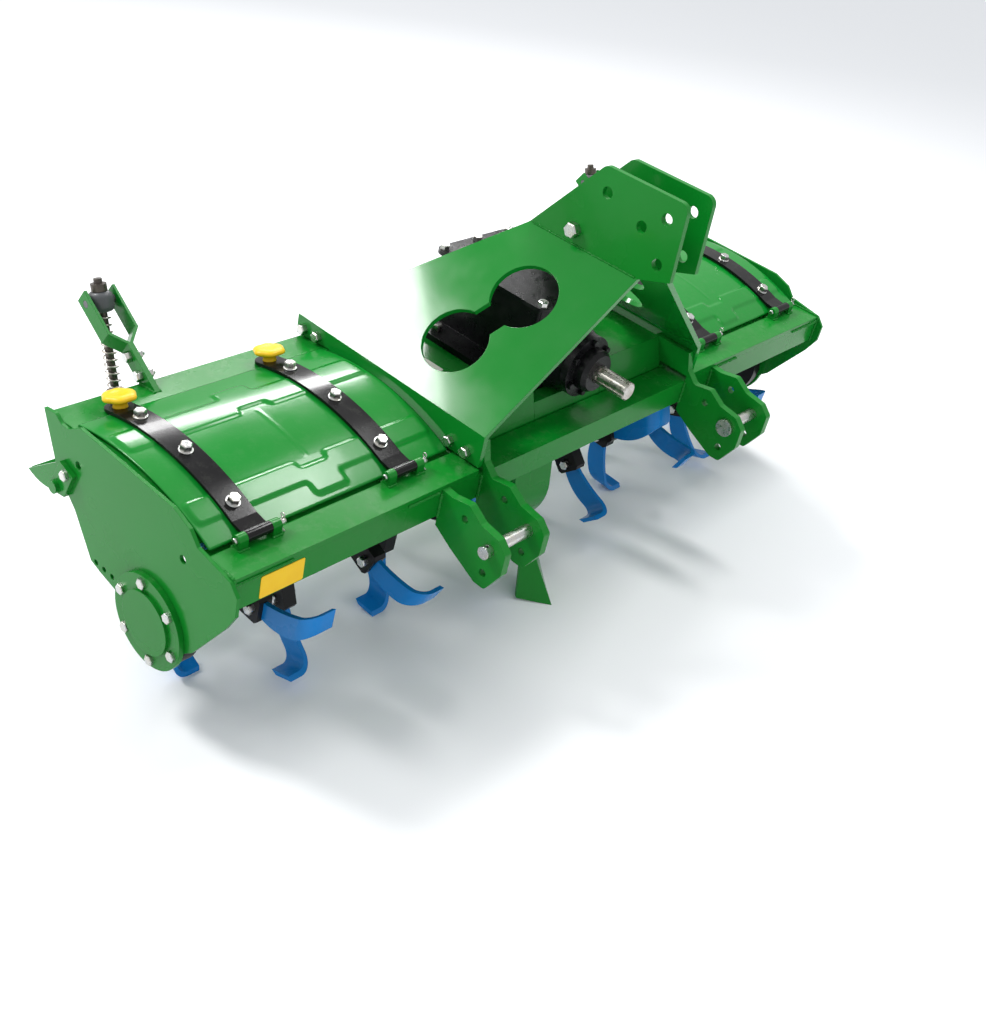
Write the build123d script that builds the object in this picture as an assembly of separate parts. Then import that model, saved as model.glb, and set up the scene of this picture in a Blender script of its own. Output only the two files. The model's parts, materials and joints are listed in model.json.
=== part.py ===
from build123d import *
from math import acos, atan2, cos, degrees, floor, hypot, radians, sin, sqrt
import os

# Rotary tiller for a three-point hitch. X runs along the working width, -Y is the tractor side,
# +Z is up. Sections are drawn as (y, z) from the front top edge of the hood, with the hood level.
# When they are written, the machine leans nose down on its share and its blades, as it parks, and
# its origin is the middle of its footprint on the floor.

# Hood
WIDTH = 1626            # over the end plates
END_PLATE = 6
HOOD_DEPTH = 448        # front edge to rear top corner of the end plates
HOOD_RISE = 46          # top edge of the end plates over the sills
DIP = 20                # hollow in that edge ahead of its rear horn
DIP_FILLET = 8
BEAM_DEPTH = 60
BEAM_HEIGHT = 48
BEAM_WALL = 12
SILL = 10               # plates on the beam that carry the lid hinges
LIP = 20                # the sills' lip under the lids' front edges
LIP_T = 4
LEDGE = 21              # strips on the end plates under the lids' side edges
LEDGE_T = 3
REAR_STRIP = 74         # flat top of the rear beam
REAR_SKIRT = 78
REAR_WALL = 2
DECK_HEIGHT = 46
DECK_WALL = 3

# Rotor
BLADE_R = 188
AXIS_Y = 165
SHAFT_R = 32
BEARING_R = 26
BLADE_T = 8
BLADE_WIDTH = 34
TIP_SIDE = 50           # how far the tip is bent sideways
TIP_TRAIL = 62          # how far the tip trails behind the root
BEND_R = 28
HOLDER_R = 76
HOLDER_WALL = 9
STATION_PITCH = 83
STATION_INSET = 65      # outer blades from the end plate's inner face
TIP_PITCH = 22.5        # turn between neighbouring tips, seen from the end
STATION_TURN = 3 * TIP_PITCH
BLADE_ROOT_R = 42

# Bearings at the end plates
BEARING_BORE = 52
HOUSING_R = 76
HOUSING_T = 24
COVER_R = 80
COVER_T = 9
COVER_RISE = 5
COVER_RIM = 26          # flat ring that takes the bolts

# Lids
LID_T = 2
LID_FRONT_Z = 5
LID_CROWN = 41          # rise of the lid's arch over its front edge
LID_SEAT_Z = 29         # rear beam's strip under the lid's rear edge
LID_FRONT_GAP = 6
LID_SIDE_GAP = 9
RIB_RISE = 2.5          # pressed bands over the lid's sheet
RIB_WALL = 4
RIB_ROUND = 7
RIB_END = 6             # band's end from the lid's side
FRONT_RIB = (100, 142)  # band along the front, with its tongue towards the sill
REAR_RIB = (262, 318)   # band along the rear, with its tongue towards the rear beam
TONGUE = 24
TONGUE_HALF = 34
NOTCH = 14
NOTCH_HALF = 26
HINGE_Y = 54
HINGE_Z = 14
KNUCKLE_R = 9
KNUCKLE_LENGTH = 16
PIN_R = 5
STRAP_T = 5
STRAP_WIDTH = 44
STRAP_INSET = 83        # outer strap from the end plate's inner face
STRAP_OFFSET = 122      # inner strap from the hanger's flange
STRAP_TAIL = 48
STRAP_LAP = 22          # where the tail starts, ahead of the lid's rear edge
TAIL_FALL = 0.24        # slope of the straps' tails
STRIP_FALL = 0.1        # slope of the rear beam's strip
KNOB_R = 20
KNOB_LOBE_R = 8
KNOB_NECK_R = 12
KNOB_HEIGHT = 12
KNOB_NECK = 11

# Hanger plates and mast
PLATE = 10
MAST_GAP = 62           # between the two mast plates
MAST_TOP = 443
MAST_BEND = 294         # height of the upper bend
FLANGE_X = 312          # outer face of the bolted flange
FLANGE_BEND = 61        # height of the lower bend
FLANGE_FOOT = 2
HITCH_HOLE_R = 10
WINDOW_R = 60
WINDOW_NECK = 56
WINDOW_UPPER = (122, -119)   # ends of the window, down the leg and back from its front
WINDOW_LOWER = (248, -167)
HANGER_NOSE = 3
HANGER_TAIL = 8
MAST_CORNER = 16
SPACER_R = 17
SPACER_BORE_R = 9
SPACER_Y = 115
SPACER_Z = 319
MAST_HOLES = ((70, 402), (-49, 407), (-8, 377), (-54, 332))

# Lower hitch
HITCH_SPAN = 683        # between the middles of the two lower pins
EAR = 15
EAR_GAP = 79
HITCH_Y = -113
HITCH_Z = -53
HITCH_PIN_R = 11
HITCH_FREE_HOLE_R = 7
EAR_HOLE_LOW = (HITCH_Y + 2, HITCH_Z - 47)
EAR_HOLE_REAR = (HITCH_Y + 58, HITCH_Z + 23)
PIN_END = 14            # pin standing out past the outer ear
BRACKET_LENGTH = 92     # ear plate on top of the beam, behind its front edge
BRACKET_HEIGHT = 46

# Gearbox
INPUT_Z = 79
INPUT_TIP_Y = -49
SPLINE_R = 17
SPLINE_ROOT_R = 14.5
SPLINES = 6
GEARBOX_FRONT = 104
GEARBOX_TAIL = 24       # gearbox's rear face ahead of the rear beam
GEARBOX_HALF = 92
GEARBOX_TOP = 182
GEARBOX_WALL = 5
COVER_PLATE = 7
COVER_LIP = 8
NOSE_Y = 20
NOSE_R = 40
CAP_Y = 46
CAP_R = 58
CAP_T = 14
BELL_R = 70
LUG_REACH = 52
LUG_T = 12
DROP_X = -60
DROP_WIDTH = 104
DROP_R = 112
DROP_NECK = 118
DROP_LEAN = 25          # top of the drop case ahead of the rotor's axis
CASE_BEARING = 20       # rotor shaft's length inside the drop case
SIDE_COVER_R = 98
SIDE_COVER_T = 9
SHARE_X = -85
SHARE_TIP_Y = -69
SHARE_LIFT = 20         # share's tip over the lowest blades, with the hood level
SHARE_SPREAD = 84
SHARE_HEIGHT = 78
SHARE_T = 14
SHANK = 44

# Trailing board and spring rods
BOARD_T = 2
BOARD_INSET = 43        # board's hinge ahead of the hood's rear corner
BOARD_Z = -86
BOARD_LENGTH = 112
CHEEK = 6
CHEEK_GAP = 7
PIVOT_R = 6
BRACKET_T = 8
LUG_PLATE = 6
ROD_INSET = 167         # rods from the end plate's inner face
ROD_R = 7
EYE_R = 18
EYE_BORE_R = 11.5
EYE_WIDTH = 14
EYE_REACH = 92          # rod's eye behind the board's hinge
EYE_Z = -98
TRUNNION_REACH = 115    # trunnion behind the hood's rear corner
TRUNNION_Z = 112
TRUNNION = 32
SPRING_R = 15
SPRING_WIRE = 3
SPRING_LENGTH = 132
SPRING_COILS = 11
SEAT_T = 6
FORK_T = 5
FORK_WIDTH = 30
FORK_GAP = 46
FORK_INSET = 20         # foot of the fork ahead of the hood's rear corner

RUN = 0.4               # clearance round turning pins and shafts
SEAT = 0.4              # gap where a moving piece rests on its seat
AIR = 5                 # room left round moving pieces

HALF = WIDTH / 2
INSIDE = HALF - END_PLATE
AXIS_Z = -BLADE_R
STAND_R = BLADE_R * cos(radians(TIP_PITCH / 2))   # axis over the floor, on two neighbouring tips
SHARE_TIP_Z = AXIS_Z - STAND_R + SHARE_LIFT
LID_FRONT = BEAM_DEPTH + LID_FRONT_GAP
STRIP_Y = HOOD_DEPTH - REAR_STRIP
OUTER_STATION = INSIDE - STATION_INSET
STRAP_X = (FLANGE_X + STRAP_OFFSET, INSIDE - STRAP_INSET)
ROD_X = INSIDE - ROD_INSET
BOARD_Y = HOOD_DEPTH - BOARD_INSET
EYE_Y = BOARD_Y + EYE_REACH
TRUNNION_Y = HOOD_DEPTH + TRUNNION_REACH
FORK_FOOT_Y = HOOD_DEPTH - FORK_INSET
GEARBOX_REAR = STRIP_Y - GEARBOX_TAIL
LID_REAR = STRIP_Y + 8
DROP_TOP = AXIS_Z + BLADE_R + 1.5 * AIR   # gearbox's floor, over the blades' circle


def polygon(*points):
    return make_face(Polyline(*points, close=True))


def across(face, low, high):
    """Section drawn as (y, z), carried along X from low to high."""
    return extrude(Plane.YZ.offset(low) * face, high - low, dir=(1, 0, 0))


def round_bar(y, z, radius, low, high):
    return across(Pos(y, z) * Circle(radius), low, high)


def mirrored(shape):
    return mirror(shape, about=Plane.YZ)


def folded(points, wall):
    """Closed outline of a plate of the given wall, folded along the points, on their left side."""
    inner = []
    for i, (y, z) in enumerate(points):
        before = points[max(i - 1, 0)]
        here = points[min(i, len(points) - 2)]
        after = points[min(i + 1, len(points) - 1)]
        first = atan2(points[max(i, 1)][1] - before[1], points[max(i, 1)][0] - before[0])
        second = atan2(after[1] - here[1], after[0] - here[0])
        half_turn = (second - first + 9.42477796) % 6.28318531 - 3.14159265
        middle = first + half_turn / 2
        reach = wall / cos(half_turn / 2)
        inner.append((y - reach * sin(middle), z + reach * cos(middle)))
    return polygon(*points, *reversed(inner))


def circle_through(a, b, c):
    """Centre and radius of the circle through three points."""
    (ax, ay), (bx, by), (cx, cy) = a, b, c
    d = 2 * (ax * (by - cy) + bx * (cy - ay) + cx * (ay - by))
    a2, b2, c2 = ax * ax + ay * ay, bx * bx + by * by, cx * cx + cy * cy
    x = (a2 * (by - cy) + b2 * (cy - ay) + c2 * (ay - by)) / d
    y = (a2 * (cx - bx) + b2 * (ax - cx) + c2 * (bx - ax)) / d
    return (x, y), hypot(ax - x, ay - y)


def end_plate():
    """Left end plate: stepped top edge, swept rear edge and a round foot under the bearing."""
    dip = [(STRIP_Y + 12, HOOD_RISE - DIP), (STRIP_Y + 30, HOOD_RISE - DIP), (STRIP_Y + 44, HOOD_RISE - DIP / 2)]
    rear_foot = (AXIS_Y + HOUSING_R - 6, AXIS_Z - 11)
    front_foot = (AXIS_Y - HOUSING_R + 3, AXIS_Z - 14)
    outline = polygon(
        (0, 0), (73, 11), (92, HOOD_RISE - 15), (130, HOOD_RISE - 2), (STRIP_Y - 20, HOOD_RISE), *dip,
        (HOOD_DEPTH, HOOD_RISE - 16), (HOOD_DEPTH - 35, -66), (HOOD_DEPTH - 82, -111),
        (HOOD_DEPTH - 126, AXIS_Z + 8), (HOOD_DEPTH - 150, AXIS_Z + 1), rear_foot,
        (AXIS_Y, AXIS_Z), front_foot, (AXIS_Y - 98, AXIS_Z + 7), (1, AXIS_Z + 102), (-17, -52), (-17, -18),
    )
    corners = [v for v in outline.vertices() if v.Z > -1 and (v.X, v.Y) in dip]
    outline = fillet(corners, DIP_FILLET)
    outline += Pos(AXIS_Y, AXIS_Z) * Circle(HOUSING_R - 2)
    outline -= Pos(AXIS_Y, AXIS_Z) * Circle(BEARING_BORE)
    outline -= Pos(HOOD_DEPTH - 90, -23) * Circle(7)
    outline -= Pos(102, -29) * Circle(7)
    for step in range(3):
        outline -= Pos(HOOD_DEPTH - 182 + 21 * step, AXIS_Z + 13) * Circle(5)
    top = SEAT - LID_T - AIR
    ledge = arch(LID_FRONT + LIP, STRIP_Y - LIP, top - LEDGE_T, top)
    return across(outline, -HALF, -INSIDE) + across(ledge, -INSIDE, -INSIDE + LEDGE)


def front_beam():
    """Closed three-sided section that leaves the blades' circle free, between the end plates."""
    top, foot = -SILL, -SILL - BEAM_HEIGHT
    outer = polygon((0, top), (BEAM_DEPTH, top), (BEAM_DEPTH, top - BEAM_WALL), (BEAM_WALL, foot), (0, foot))
    hollow = polygon(
        (BEAM_WALL, top - BEAM_WALL),
        (BEAM_DEPTH - 2 * BEAM_WALL, top - BEAM_WALL),
        (BEAM_WALL, foot + 2 * BEAM_WALL),
    )
    return across(outer - hollow, -INSIDE, INSIDE)


def lid_sill():
    """Plate on the left part of the beam, stepped down at the back to a lip under the lid."""
    lip_end = BEAM_DEPTH + LIP
    section = polygon(
        (0, 0), (BEAM_DEPTH, 0), (BEAM_DEPTH, LIP_T - SILL), (lip_end, LIP_T - SILL), (lip_end, -SILL), (0, -SILL)
    )
    return across(section, -INSIDE, -FLANGE_X)


def strip_height(y):
    """Top of the rear beam's strip, which falls a little towards the rear."""
    return LID_SEAT_Z - (y - LID_REAR) * STRIP_FALL


def rear_beam():
    """Folded plate: front lip, top strip and a skirt that follows the end plates' rear edge."""
    lip = (STRIP_Y, strip_height(STRIP_Y) - 30)
    front = (STRIP_Y, strip_height(STRIP_Y))
    rear_y = HOOD_DEPTH - 3
    rear = (rear_y, strip_height(rear_y))
    lean = atan2(94, 35)
    foot = (rear_y - REAR_SKIRT * cos(lean), rear[1] - REAR_SKIRT * sin(lean))
    strip = across(folded([rear, front, lip], REAR_WALL), -INSIDE, INSIDE)
    skirt_end = INSIDE - CHEEK - 2 * CHEEK_GAP
    skirt = across(folded([foot, rear, front], REAR_WALL), -skirt_end, skirt_end)
    bracket_y = STRIP_Y + 12
    bracket = polygon(
        (bracket_y, strip_height(bracket_y)), (rear_y, strip_height(rear_y)),
        (rear_y, FLANGE_BEND - 6), (bracket_y, FLANGE_BEND - 6),
    )
    inner = FLANGE_X - PLATE
    brackets = across(bracket, -inner, -inner + EAR) + across(bracket, inner - EAR, inner)
    return strip + skirt + brackets


def deck():
    """Raised plate between the hanger plates, folded down to both beams, open for the gearbox."""
    section = folded(
        [
            (STRIP_Y, strip_height(STRIP_Y) - 12), (STRIP_Y - 14, DECK_HEIGHT),
            (BEAM_DEPTH + 24, DECK_HEIGHT), (BEAM_DEPTH, -SILL - BEAM_WALL),
        ],
        DECK_WALL,
    )
    edge = FLANGE_X - PLATE - EAR
    plate = across(section, -edge, edge)
    mouth = GEARBOX_HALF + 2
    return plate - across(
        polygon((0, -90), (GEARBOX_REAR + 2, -90), (GEARBOX_REAR + 2, 90), (0, 90)), -mouth, mouth
    )


def hanger_side():
    """Outline of a whole hanger from the side: flange, leg and mast."""
    tail = HOOD_DEPTH + HANGER_TAIL
    front = STRIP_Y - FLANGE_FOOT
    outline = polygon(
        (HANGER_NOSE, FLANGE_FOOT), (HANGER_NOSE, FLANGE_BEND), (-27, MAST_BEND), (-86, MAST_BEND + 20),
        (-80, MAST_TOP), (85, MAST_TOP), (208, MAST_BEND), (tail, FLANGE_BEND),
        (tail, strip_height(tail) + FLANGE_FOOT), (front, strip_height(front) + FLANGE_FOOT), (front, FLANGE_FOOT),
    )
    corners = outline.vertices().filter_by_position(Axis.Y, MAST_TOP - 1, MAST_TOP + 1)
    return fillet(corners, MAST_CORNER)


def side_band(low, high):
    """Rectangle wider than the machine, between two heights, to cut a side outline with."""
    return polygon((-WIDTH, low), (WIDTH, low), (WIDTH, high), (-WIDTH, high))


def mast_plate():
    """Left upright plate of the mast, on top of the hanger's leg, with its hitch holes."""
    outline = hanger_side() & side_band(MAST_BEND, MAST_TOP)
    for y, z in MAST_HOLES:
        outline -= Pos(y, z) * Circle(HITCH_HOLE_R)
    outline -= Pos(SPACER_Y, SPACER_Z) * Circle(SPACER_BORE_R)
    return across(outline, -MAST_GAP / 2 - PLATE, -MAST_GAP / 2)


def leg_window():
    """Dumbbell opening in a leg, drawn on the leg's own plane from the bend at the mast."""
    (ux, uy), (lx, ly) = WINDOW_UPPER, WINDOW_LOWER
    turn = degrees(atan2(ly - uy, lx - ux))
    neck = Rot(0, 0, turn) * Rectangle(hypot(lx - ux, ly - uy), WINDOW_NECK)
    ends = Pos(ux, uy) * Circle(WINDOW_R) + Pos(lx, ly) * Circle(WINDOW_R)
    return ends + Pos((ux + lx) / 2, (uy + ly) / 2) * neck


def hanger():
    """Left hanger: sloped leg with its window, bent at its foot to the flange that is bolted on."""
    bend_x = MAST_GAP / 2 + PLATE
    slope = atan2(MAST_BEND - FLANGE_BEND, FLANGE_X - bend_x)
    section = folded(
        [(-bend_x, MAST_TOP), (-bend_x, MAST_BEND), (-FLANGE_X, FLANGE_BEND), (-FLANGE_X, FLANGE_FOOT)], PLATE
    )
    reach = HOOD_DEPTH + 2 * HANGER_TAIL
    plate = extrude(Plane.XZ.offset(-reach) * section, 2 * reach, dir=(0, -1, 0))
    plate &= across(hanger_side() & side_band(FLANGE_FOOT, MAST_BEND), -FLANGE_X, 0)
    leg = Plane(
        origin=(-bend_x, 0, MAST_BEND), x_dir=(-cos(slope), 0, -sin(slope)), z_dir=(-sin(slope), 0, cos(slope))
    )
    return plate - extrude(leg * leg_window(), 2 * PLATE, both=True)


def mast_spacer():
    """Tube between the mast plates round the clamping bolt, and the bolt's shank in the plates."""
    tube = round_bar(SPACER_Y, SPACER_Z, SPACER_R, -MAST_GAP / 2, MAST_GAP / 2)
    reach = MAST_GAP / 2 + PLATE
    return tube + round_bar(SPACER_Y, SPACER_Z, SPACER_BORE_R, -reach, reach)


def ear_outline(behind):
    """Wavy hitch ear ahead of the beam; behind is the length of its bracket on top of the beam."""
    nose = -HITCH_Y
    top = [(0, -6), (-22, -8), (-58, -1), (-88, -20), (-nose - 14, -26)]
    if behind:
        top = [(behind, 0), (behind, BRACKET_HEIGHT), (10, BRACKET_HEIGHT)] + [(0, 12)] + top[1:]
    low = [(-nose - 33, -44), (-nose - 33, -84), (-nose - 8, -127), (-nose + 14, -127), (-38, -98), (0, -76)]
    foot = [(0, 0)] if behind else []
    face = polygon(*top, *low, *foot)
    rounded = face.vertices().filter_by_position(Axis.X, -nose - 40, -15)
    face = fillet(rounded, 9)
    face -= Pos(HITCH_Y, HITCH_Z) * Circle(HITCH_PIN_R)
    for y, z in (EAR_HOLE_LOW, EAR_HOLE_REAR):
        face -= Pos(y, z) * Circle(HITCH_FREE_HOLE_R)
    return face


def hitch_ears():
    """Left pair of ears: the inner one runs back over the beam as the hanger's bracket."""
    middle = HITCH_SPAN / 2
    inner_face = -middle + EAR_GAP / 2
    outer_face = -middle - EAR_GAP / 2
    inner = across(ear_outline(BRACKET_LENGTH), inner_face, inner_face + EAR)
    outer = across(ear_outline(0), outer_face - EAR, outer_face)
    return inner + outer


def hitch_pin():
    """Left lower hitch pin with its head at the inner ear and a bored end outside."""
    middle = -HITCH_SPAN / 2
    reach = EAR_GAP / 2 + EAR
    bar = round_bar(HITCH_Y, HITCH_Z, HITCH_PIN_R, middle - reach - PIN_END, middle + reach)
    head = round_bar(HITCH_Y, HITCH_Z, HITCH_PIN_R + 6, middle + reach, middle + reach + 8)
    cross_hole = Pos(middle - reach - PIN_END / 2, HITCH_Y, HITCH_Z) * Cylinder(3, 40)
    return bar + head - cross_hole


def gearbox_case():
    """Hollow casting: main chest, bell towards the input and mounting lugs on the deck."""
    length = GEARBOX_REAR - GEARBOX_FRONT
    height = GEARBOX_TOP - DROP_TOP
    middle = (GEARBOX_FRONT + GEARBOX_REAR) / 2
    chest = Pos(0, middle, (GEARBOX_TOP + DROP_TOP) / 2) * Box(2 * GEARBOX_HALF, length, height)
    chest = fillet(chest.edges().filter_by(Axis.Z), 18)
    cavity = Box(2 * (GEARBOX_HALF - GEARBOX_WALL), length - 2 * GEARBOX_WALL, height - 2 * GEARBOX_WALL)
    bell_length = GEARBOX_FRONT - CAP_Y - CAP_T
    bell = Pos(0, CAP_Y + CAP_T, INPUT_Z) * Rot(-90, 0, 0) * Cone(
        CAP_R - 2, BELL_R, bell_length, align=(Align.CENTER, Align.CENTER, Align.MIN)
    )
    lugs = Pos(0, middle, DECK_HEIGHT + LUG_T / 2) * Box(2 * (GEARBOX_HALF + LUG_REACH), length - 60, LUG_T)
    return chest + bell + lugs - Pos(0, middle, (GEARBOX_TOP + DROP_TOP) / 2) * cavity


def gearbox_cover():
    """Flat top cover that overhangs the case all round."""
    length = GEARBOX_REAR - GEARBOX_FRONT + 2 * COVER_LIP
    plate = Pos(0, (GEARBOX_FRONT + GEARBOX_REAR) / 2, GEARBOX_TOP + COVER_PLATE / 2) * Box(
        2 * (GEARBOX_HALF + COVER_LIP), length, COVER_PLATE
    )
    return fillet(plate.edges().filter_by(Axis.Z), 20)


def input_housing():
    """Turned bearing cap with a stepped nose round the input shaft."""
    profile = polygon(
        (SPLINE_R + RUN, NOSE_Y), (NOSE_R - 6, NOSE_Y), (NOSE_R, NOSE_Y + 8), (NOSE_R, CAP_Y),
        (CAP_R, CAP_Y), (CAP_R, CAP_Y + CAP_T), (SPLINE_R + RUN, CAP_Y + CAP_T),
    )
    return Pos(0, 0, INPUT_Z) * revolve(profile, Axis.Y)


def input_shaft():
    """Six-spline input shaft, relieved between the splines and chamfered at its tip."""
    length = CAP_Y + CAP_T - SEAT - INPUT_TIP_Y
    bar = Pos(0, INPUT_TIP_Y, INPUT_Z) * Rot(-90, 0, 0) * Cylinder(
        SPLINE_R, length, align=(Align.CENTER, Align.CENTER, Align.MIN)
    )
    bar = chamfer(bar.edges().filter_by(GeomType.CIRCLE).sort_by(Axis.Y)[0], 2)
    splined = NOSE_Y - 6 - INPUT_TIP_Y
    for turn in range(SPLINES):
        groove = Box(SPLINE_R - SPLINE_ROOT_R, splined, 8, align=(Align.MIN, Align.MIN, Align.CENTER))
        bar -= Pos(0, INPUT_TIP_Y, INPUT_Z) * Rot(0, 360 / SPLINES * turn, 0) * Pos(SPLINE_ROOT_R, 0, 0) * groove
    return bar


def drop_case():
    """Closed gear case from the gearbox down to the rotor, round at its foot."""
    foot = Pos(AXIS_Y, AXIS_Z) * Edge.make_circle(DROP_R)
    neck = AXIS_Y - DROP_LEAN
    top = Line((neck - DROP_NECK / 2, DROP_TOP), (neck + DROP_NECK / 2, DROP_TOP))
    section = make_hull([foot, top.edge()])
    section -= Pos(AXIS_Y, AXIS_Z) * Circle(BEARING_R + RUN)
    return across(section, DROP_X - DROP_WIDTH / 2, DROP_X + DROP_WIDTH / 2)


def drop_case_cover():
    """Round cover on the case's left face."""
    face = DROP_X - DROP_WIDTH / 2
    ring = Pos(AXIS_Y, AXIS_Z) * (Circle(SIDE_COVER_R) - Circle(BEARING_R + RUN))
    return across(ring, face - SIDE_COVER_T, face)


def chevron(tip_y, spread, sweep, wall):
    """V in plan, its point towards the tractor."""
    half = spread / 2
    return polygon(
        (0, tip_y), (half, tip_y + sweep), (half - wall / 3, tip_y + sweep + wall / 2), (0, tip_y + wall),
        (-half + wall / 3, tip_y + sweep + wall / 2), (-half, tip_y + sweep),
    )


def centre_share():
    """V share on a shank that is seated on the front of the drop case."""
    neck_z = SHARE_TIP_Z + SHARE_HEIGHT
    neck_y = SHARE_TIP_Y + 66
    low = Plane.XY.offset(SHARE_TIP_Z) * chevron(SHARE_TIP_Y, SHARE_SPREAD, 54, SHARE_T)
    high = Plane.XY.offset(neck_z) * chevron(neck_y, SHANK, 14, SHARE_T + 6)
    blade = loft([low.face(), high.face()], ruled=True)
    side = polygon(
        (neck_y, neck_z - 2), (neck_y + 24, neck_z - 14), (AXIS_Y - 40, AXIS_Z - 92),
        (AXIS_Y - 96, AXIS_Z - 30), (neck_y + 16, neck_z + 40),
    )
    shank = across(side, -SHANK / 2, SHANK / 2) - round_bar(AXIS_Y, AXIS_Z, DROP_R, -SHANK, SHANK)
    return Pos(SHARE_X, 0, 0) * (blade + shank)


def bearing_housing():
    """Left bearing housing: hub in the end plate's bore and a drum on its inner face."""
    hub = Pos(AXIS_Y, AXIS_Z) * (Circle(BEARING_BORE) - Circle(BEARING_R + RUN))
    drum = Pos(AXIS_Y, AXIS_Z) * (Circle(HOUSING_R) - Circle(BEARING_R + RUN))
    return across(hub, -HALF, -INSIDE) + across(drum, -INSIDE, -INSIDE + HOUSING_T)


def bearing_cover():
    """Left bearing cover on the end plate's outer face, with a raised middle."""
    rim = -HALF - COVER_T
    plate = round_bar(AXIS_Y, AXIS_Z, COVER_R, rim, -HALF)
    return plate + round_bar(AXIS_Y, AXIS_Z, COVER_R - COVER_RIM, rim - COVER_RISE, rim)


def lid_arc(y, lift):
    """Point at y on the lid's arc, lifted off the outer face."""
    front = (LID_FRONT, LID_FRONT_Z)
    rear = (LID_REAR, LID_SEAT_Z + LID_T)
    crown = ((LID_FRONT + LID_REAR) / 2, LID_FRONT_Z + LID_CROWN)
    (cy, cz), radius = circle_through(front, crown, rear)
    return (y, cz + sqrt((radius + lift) ** 2 - (y - cy) ** 2))


def arch(front, rear, low, high):
    """Band along the lid's arc from front to rear, between two lifts."""
    middle = (front + rear) / 2
    upper = ThreePointArc(lid_arc(front, high), lid_arc(middle, high), lid_arc(rear, high))
    lower = ThreePointArc(lid_arc(rear, low), lid_arc(middle, low), lid_arc(front, low))
    return make_face([upper, Line(upper @ 1, lower @ 0), lower, Line(lower @ 1, upper @ 0)])


def rib_plan(low, high, tongue_edge):
    """Band of a lid in plan, with a tongue out of one long edge and a notch in the other one."""
    outer = -INSIDE + LID_SIDE_GAP + RIB_END
    inner = -FLANGE_X - LID_SIDE_GAP - RIB_END
    middle = (outer + inner) / 2
    out = 1 if tongue_edge == high else -1
    notch_edge = low if out > 0 else high
    band = Pos(middle, (low + high) / 2) * Rectangle(inner - outer, high - low)
    band += Pos(middle, tongue_edge) * Rectangle(2 * TONGUE_HALF, 2 * TONGUE)
    return band - Pos(middle, notch_edge) * Rectangle(2 * NOTCH_HALF, 2 * NOTCH)


def lid():
    """Left lid: arched sheet from the sill to the rear beam's strip, with two pressed bands."""
    outer = -INSIDE + LID_SIDE_GAP
    inner = -FLANGE_X - LID_SIDE_GAP
    sheet = across(arch(LID_FRONT, LID_REAR, SEAT - LID_T, SEAT), outer, inner)
    above = across(arch(LID_FRONT, LID_REAR, SEAT - LID_T, SEAT + RIB_RISE), outer, inner)
    below = across(arch(LID_FRONT, LID_REAR, SEAT - 2 * LID_T, SEAT - LID_T + RIB_RISE), outer, inner)
    for (low, high), tongue_edge in ((FRONT_RIB, FRONT_RIB[0]), (REAR_RIB, REAR_RIB[1])):
        plan = rib_plan(low, high, tongue_edge)
        hollow = offset(plan, -RIB_WALL, kind=Kind.INTERSECTION)
        sheet += above & extrude(fillet(plan.vertices(), RIB_ROUND), HOOD_DEPTH, both=True)
        sheet -= below & extrude(hollow, HOOD_DEPTH, both=True)
    return sheet


def strap():
    """Strap at the middle of the machine: hinge knuckle in front, round tail over the rear beam."""
    low = SEAT + RIB_RISE
    high = low + STRAP_T
    tail_y = LID_REAR - STRAP_LAP
    front_y = LID_FRONT + 18
    tail = lid_arc(tail_y, low)
    tail_top = lid_arc(tail_y, high)
    end = tail_y + STRAP_TAIL
    drop = STRAP_TAIL * TAIL_FALL
    section = arch(front_y, tail_y, low, high)
    section += polygon(tail, (end, tail[1] - drop), (end, tail_top[1] - drop), tail_top)
    section += polygon(
        lid_arc(front_y, low), lid_arc(front_y, high), (HINGE_Y, HINGE_Z + STRAP_T / 2),
        (HINGE_Y + 5, HINGE_Z - STRAP_T / 2),
    )
    section += Pos(HINGE_Y, HINGE_Z) * Circle(KNUCKLE_R)
    section -= Pos(HINGE_Y, HINGE_Z) * Circle(PIN_R + RUN)
    bar = across(section, -STRAP_WIDTH / 2, STRAP_WIDTH / 2)
    corners = bar.edges().filter_by(Axis.Z).sort_by(Axis.Y)[-2:]
    return fillet(corners, STRAP_WIDTH / 2 - 2)


def lid_straps():
    """The left lid's two straps, which carry the lid and its knobs."""
    return Pos(-STRAP_X[0], 0, 0) * strap() + Pos(-STRAP_X[1], 0, 0) * strap()


def knobs():
    """Two lobed hand knobs on the tails of the left straps."""
    outline = Circle(KNOB_R)
    for lobe in range(6):
        outline += Rot(0, 0, 60 * lobe) * Pos(KNOB_R, 0) * Circle(KNOB_LOBE_R)
    head = Pos(0, 0, KNOB_NECK) * extrude(outline, KNOB_HEIGHT)
    knob = head + Cylinder(KNOB_NECK_R, KNOB_NECK, align=(Align.CENTER, Align.CENTER, Align.MIN))
    root_y = LID_REAR - STRAP_LAP
    y = root_y + STRAP_TAIL / 2
    seat = lid_arc(root_y, SEAT + RIB_RISE + STRAP_T)[1] - TAIL_FALL * STRAP_TAIL / 2
    lean = Rot(-degrees(atan2(TAIL_FALL, 1)), 0, 0)
    pair = [Pos(-x, y, seat) * lean * knob for x in STRAP_X]
    return pair[0] + pair[1]


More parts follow.
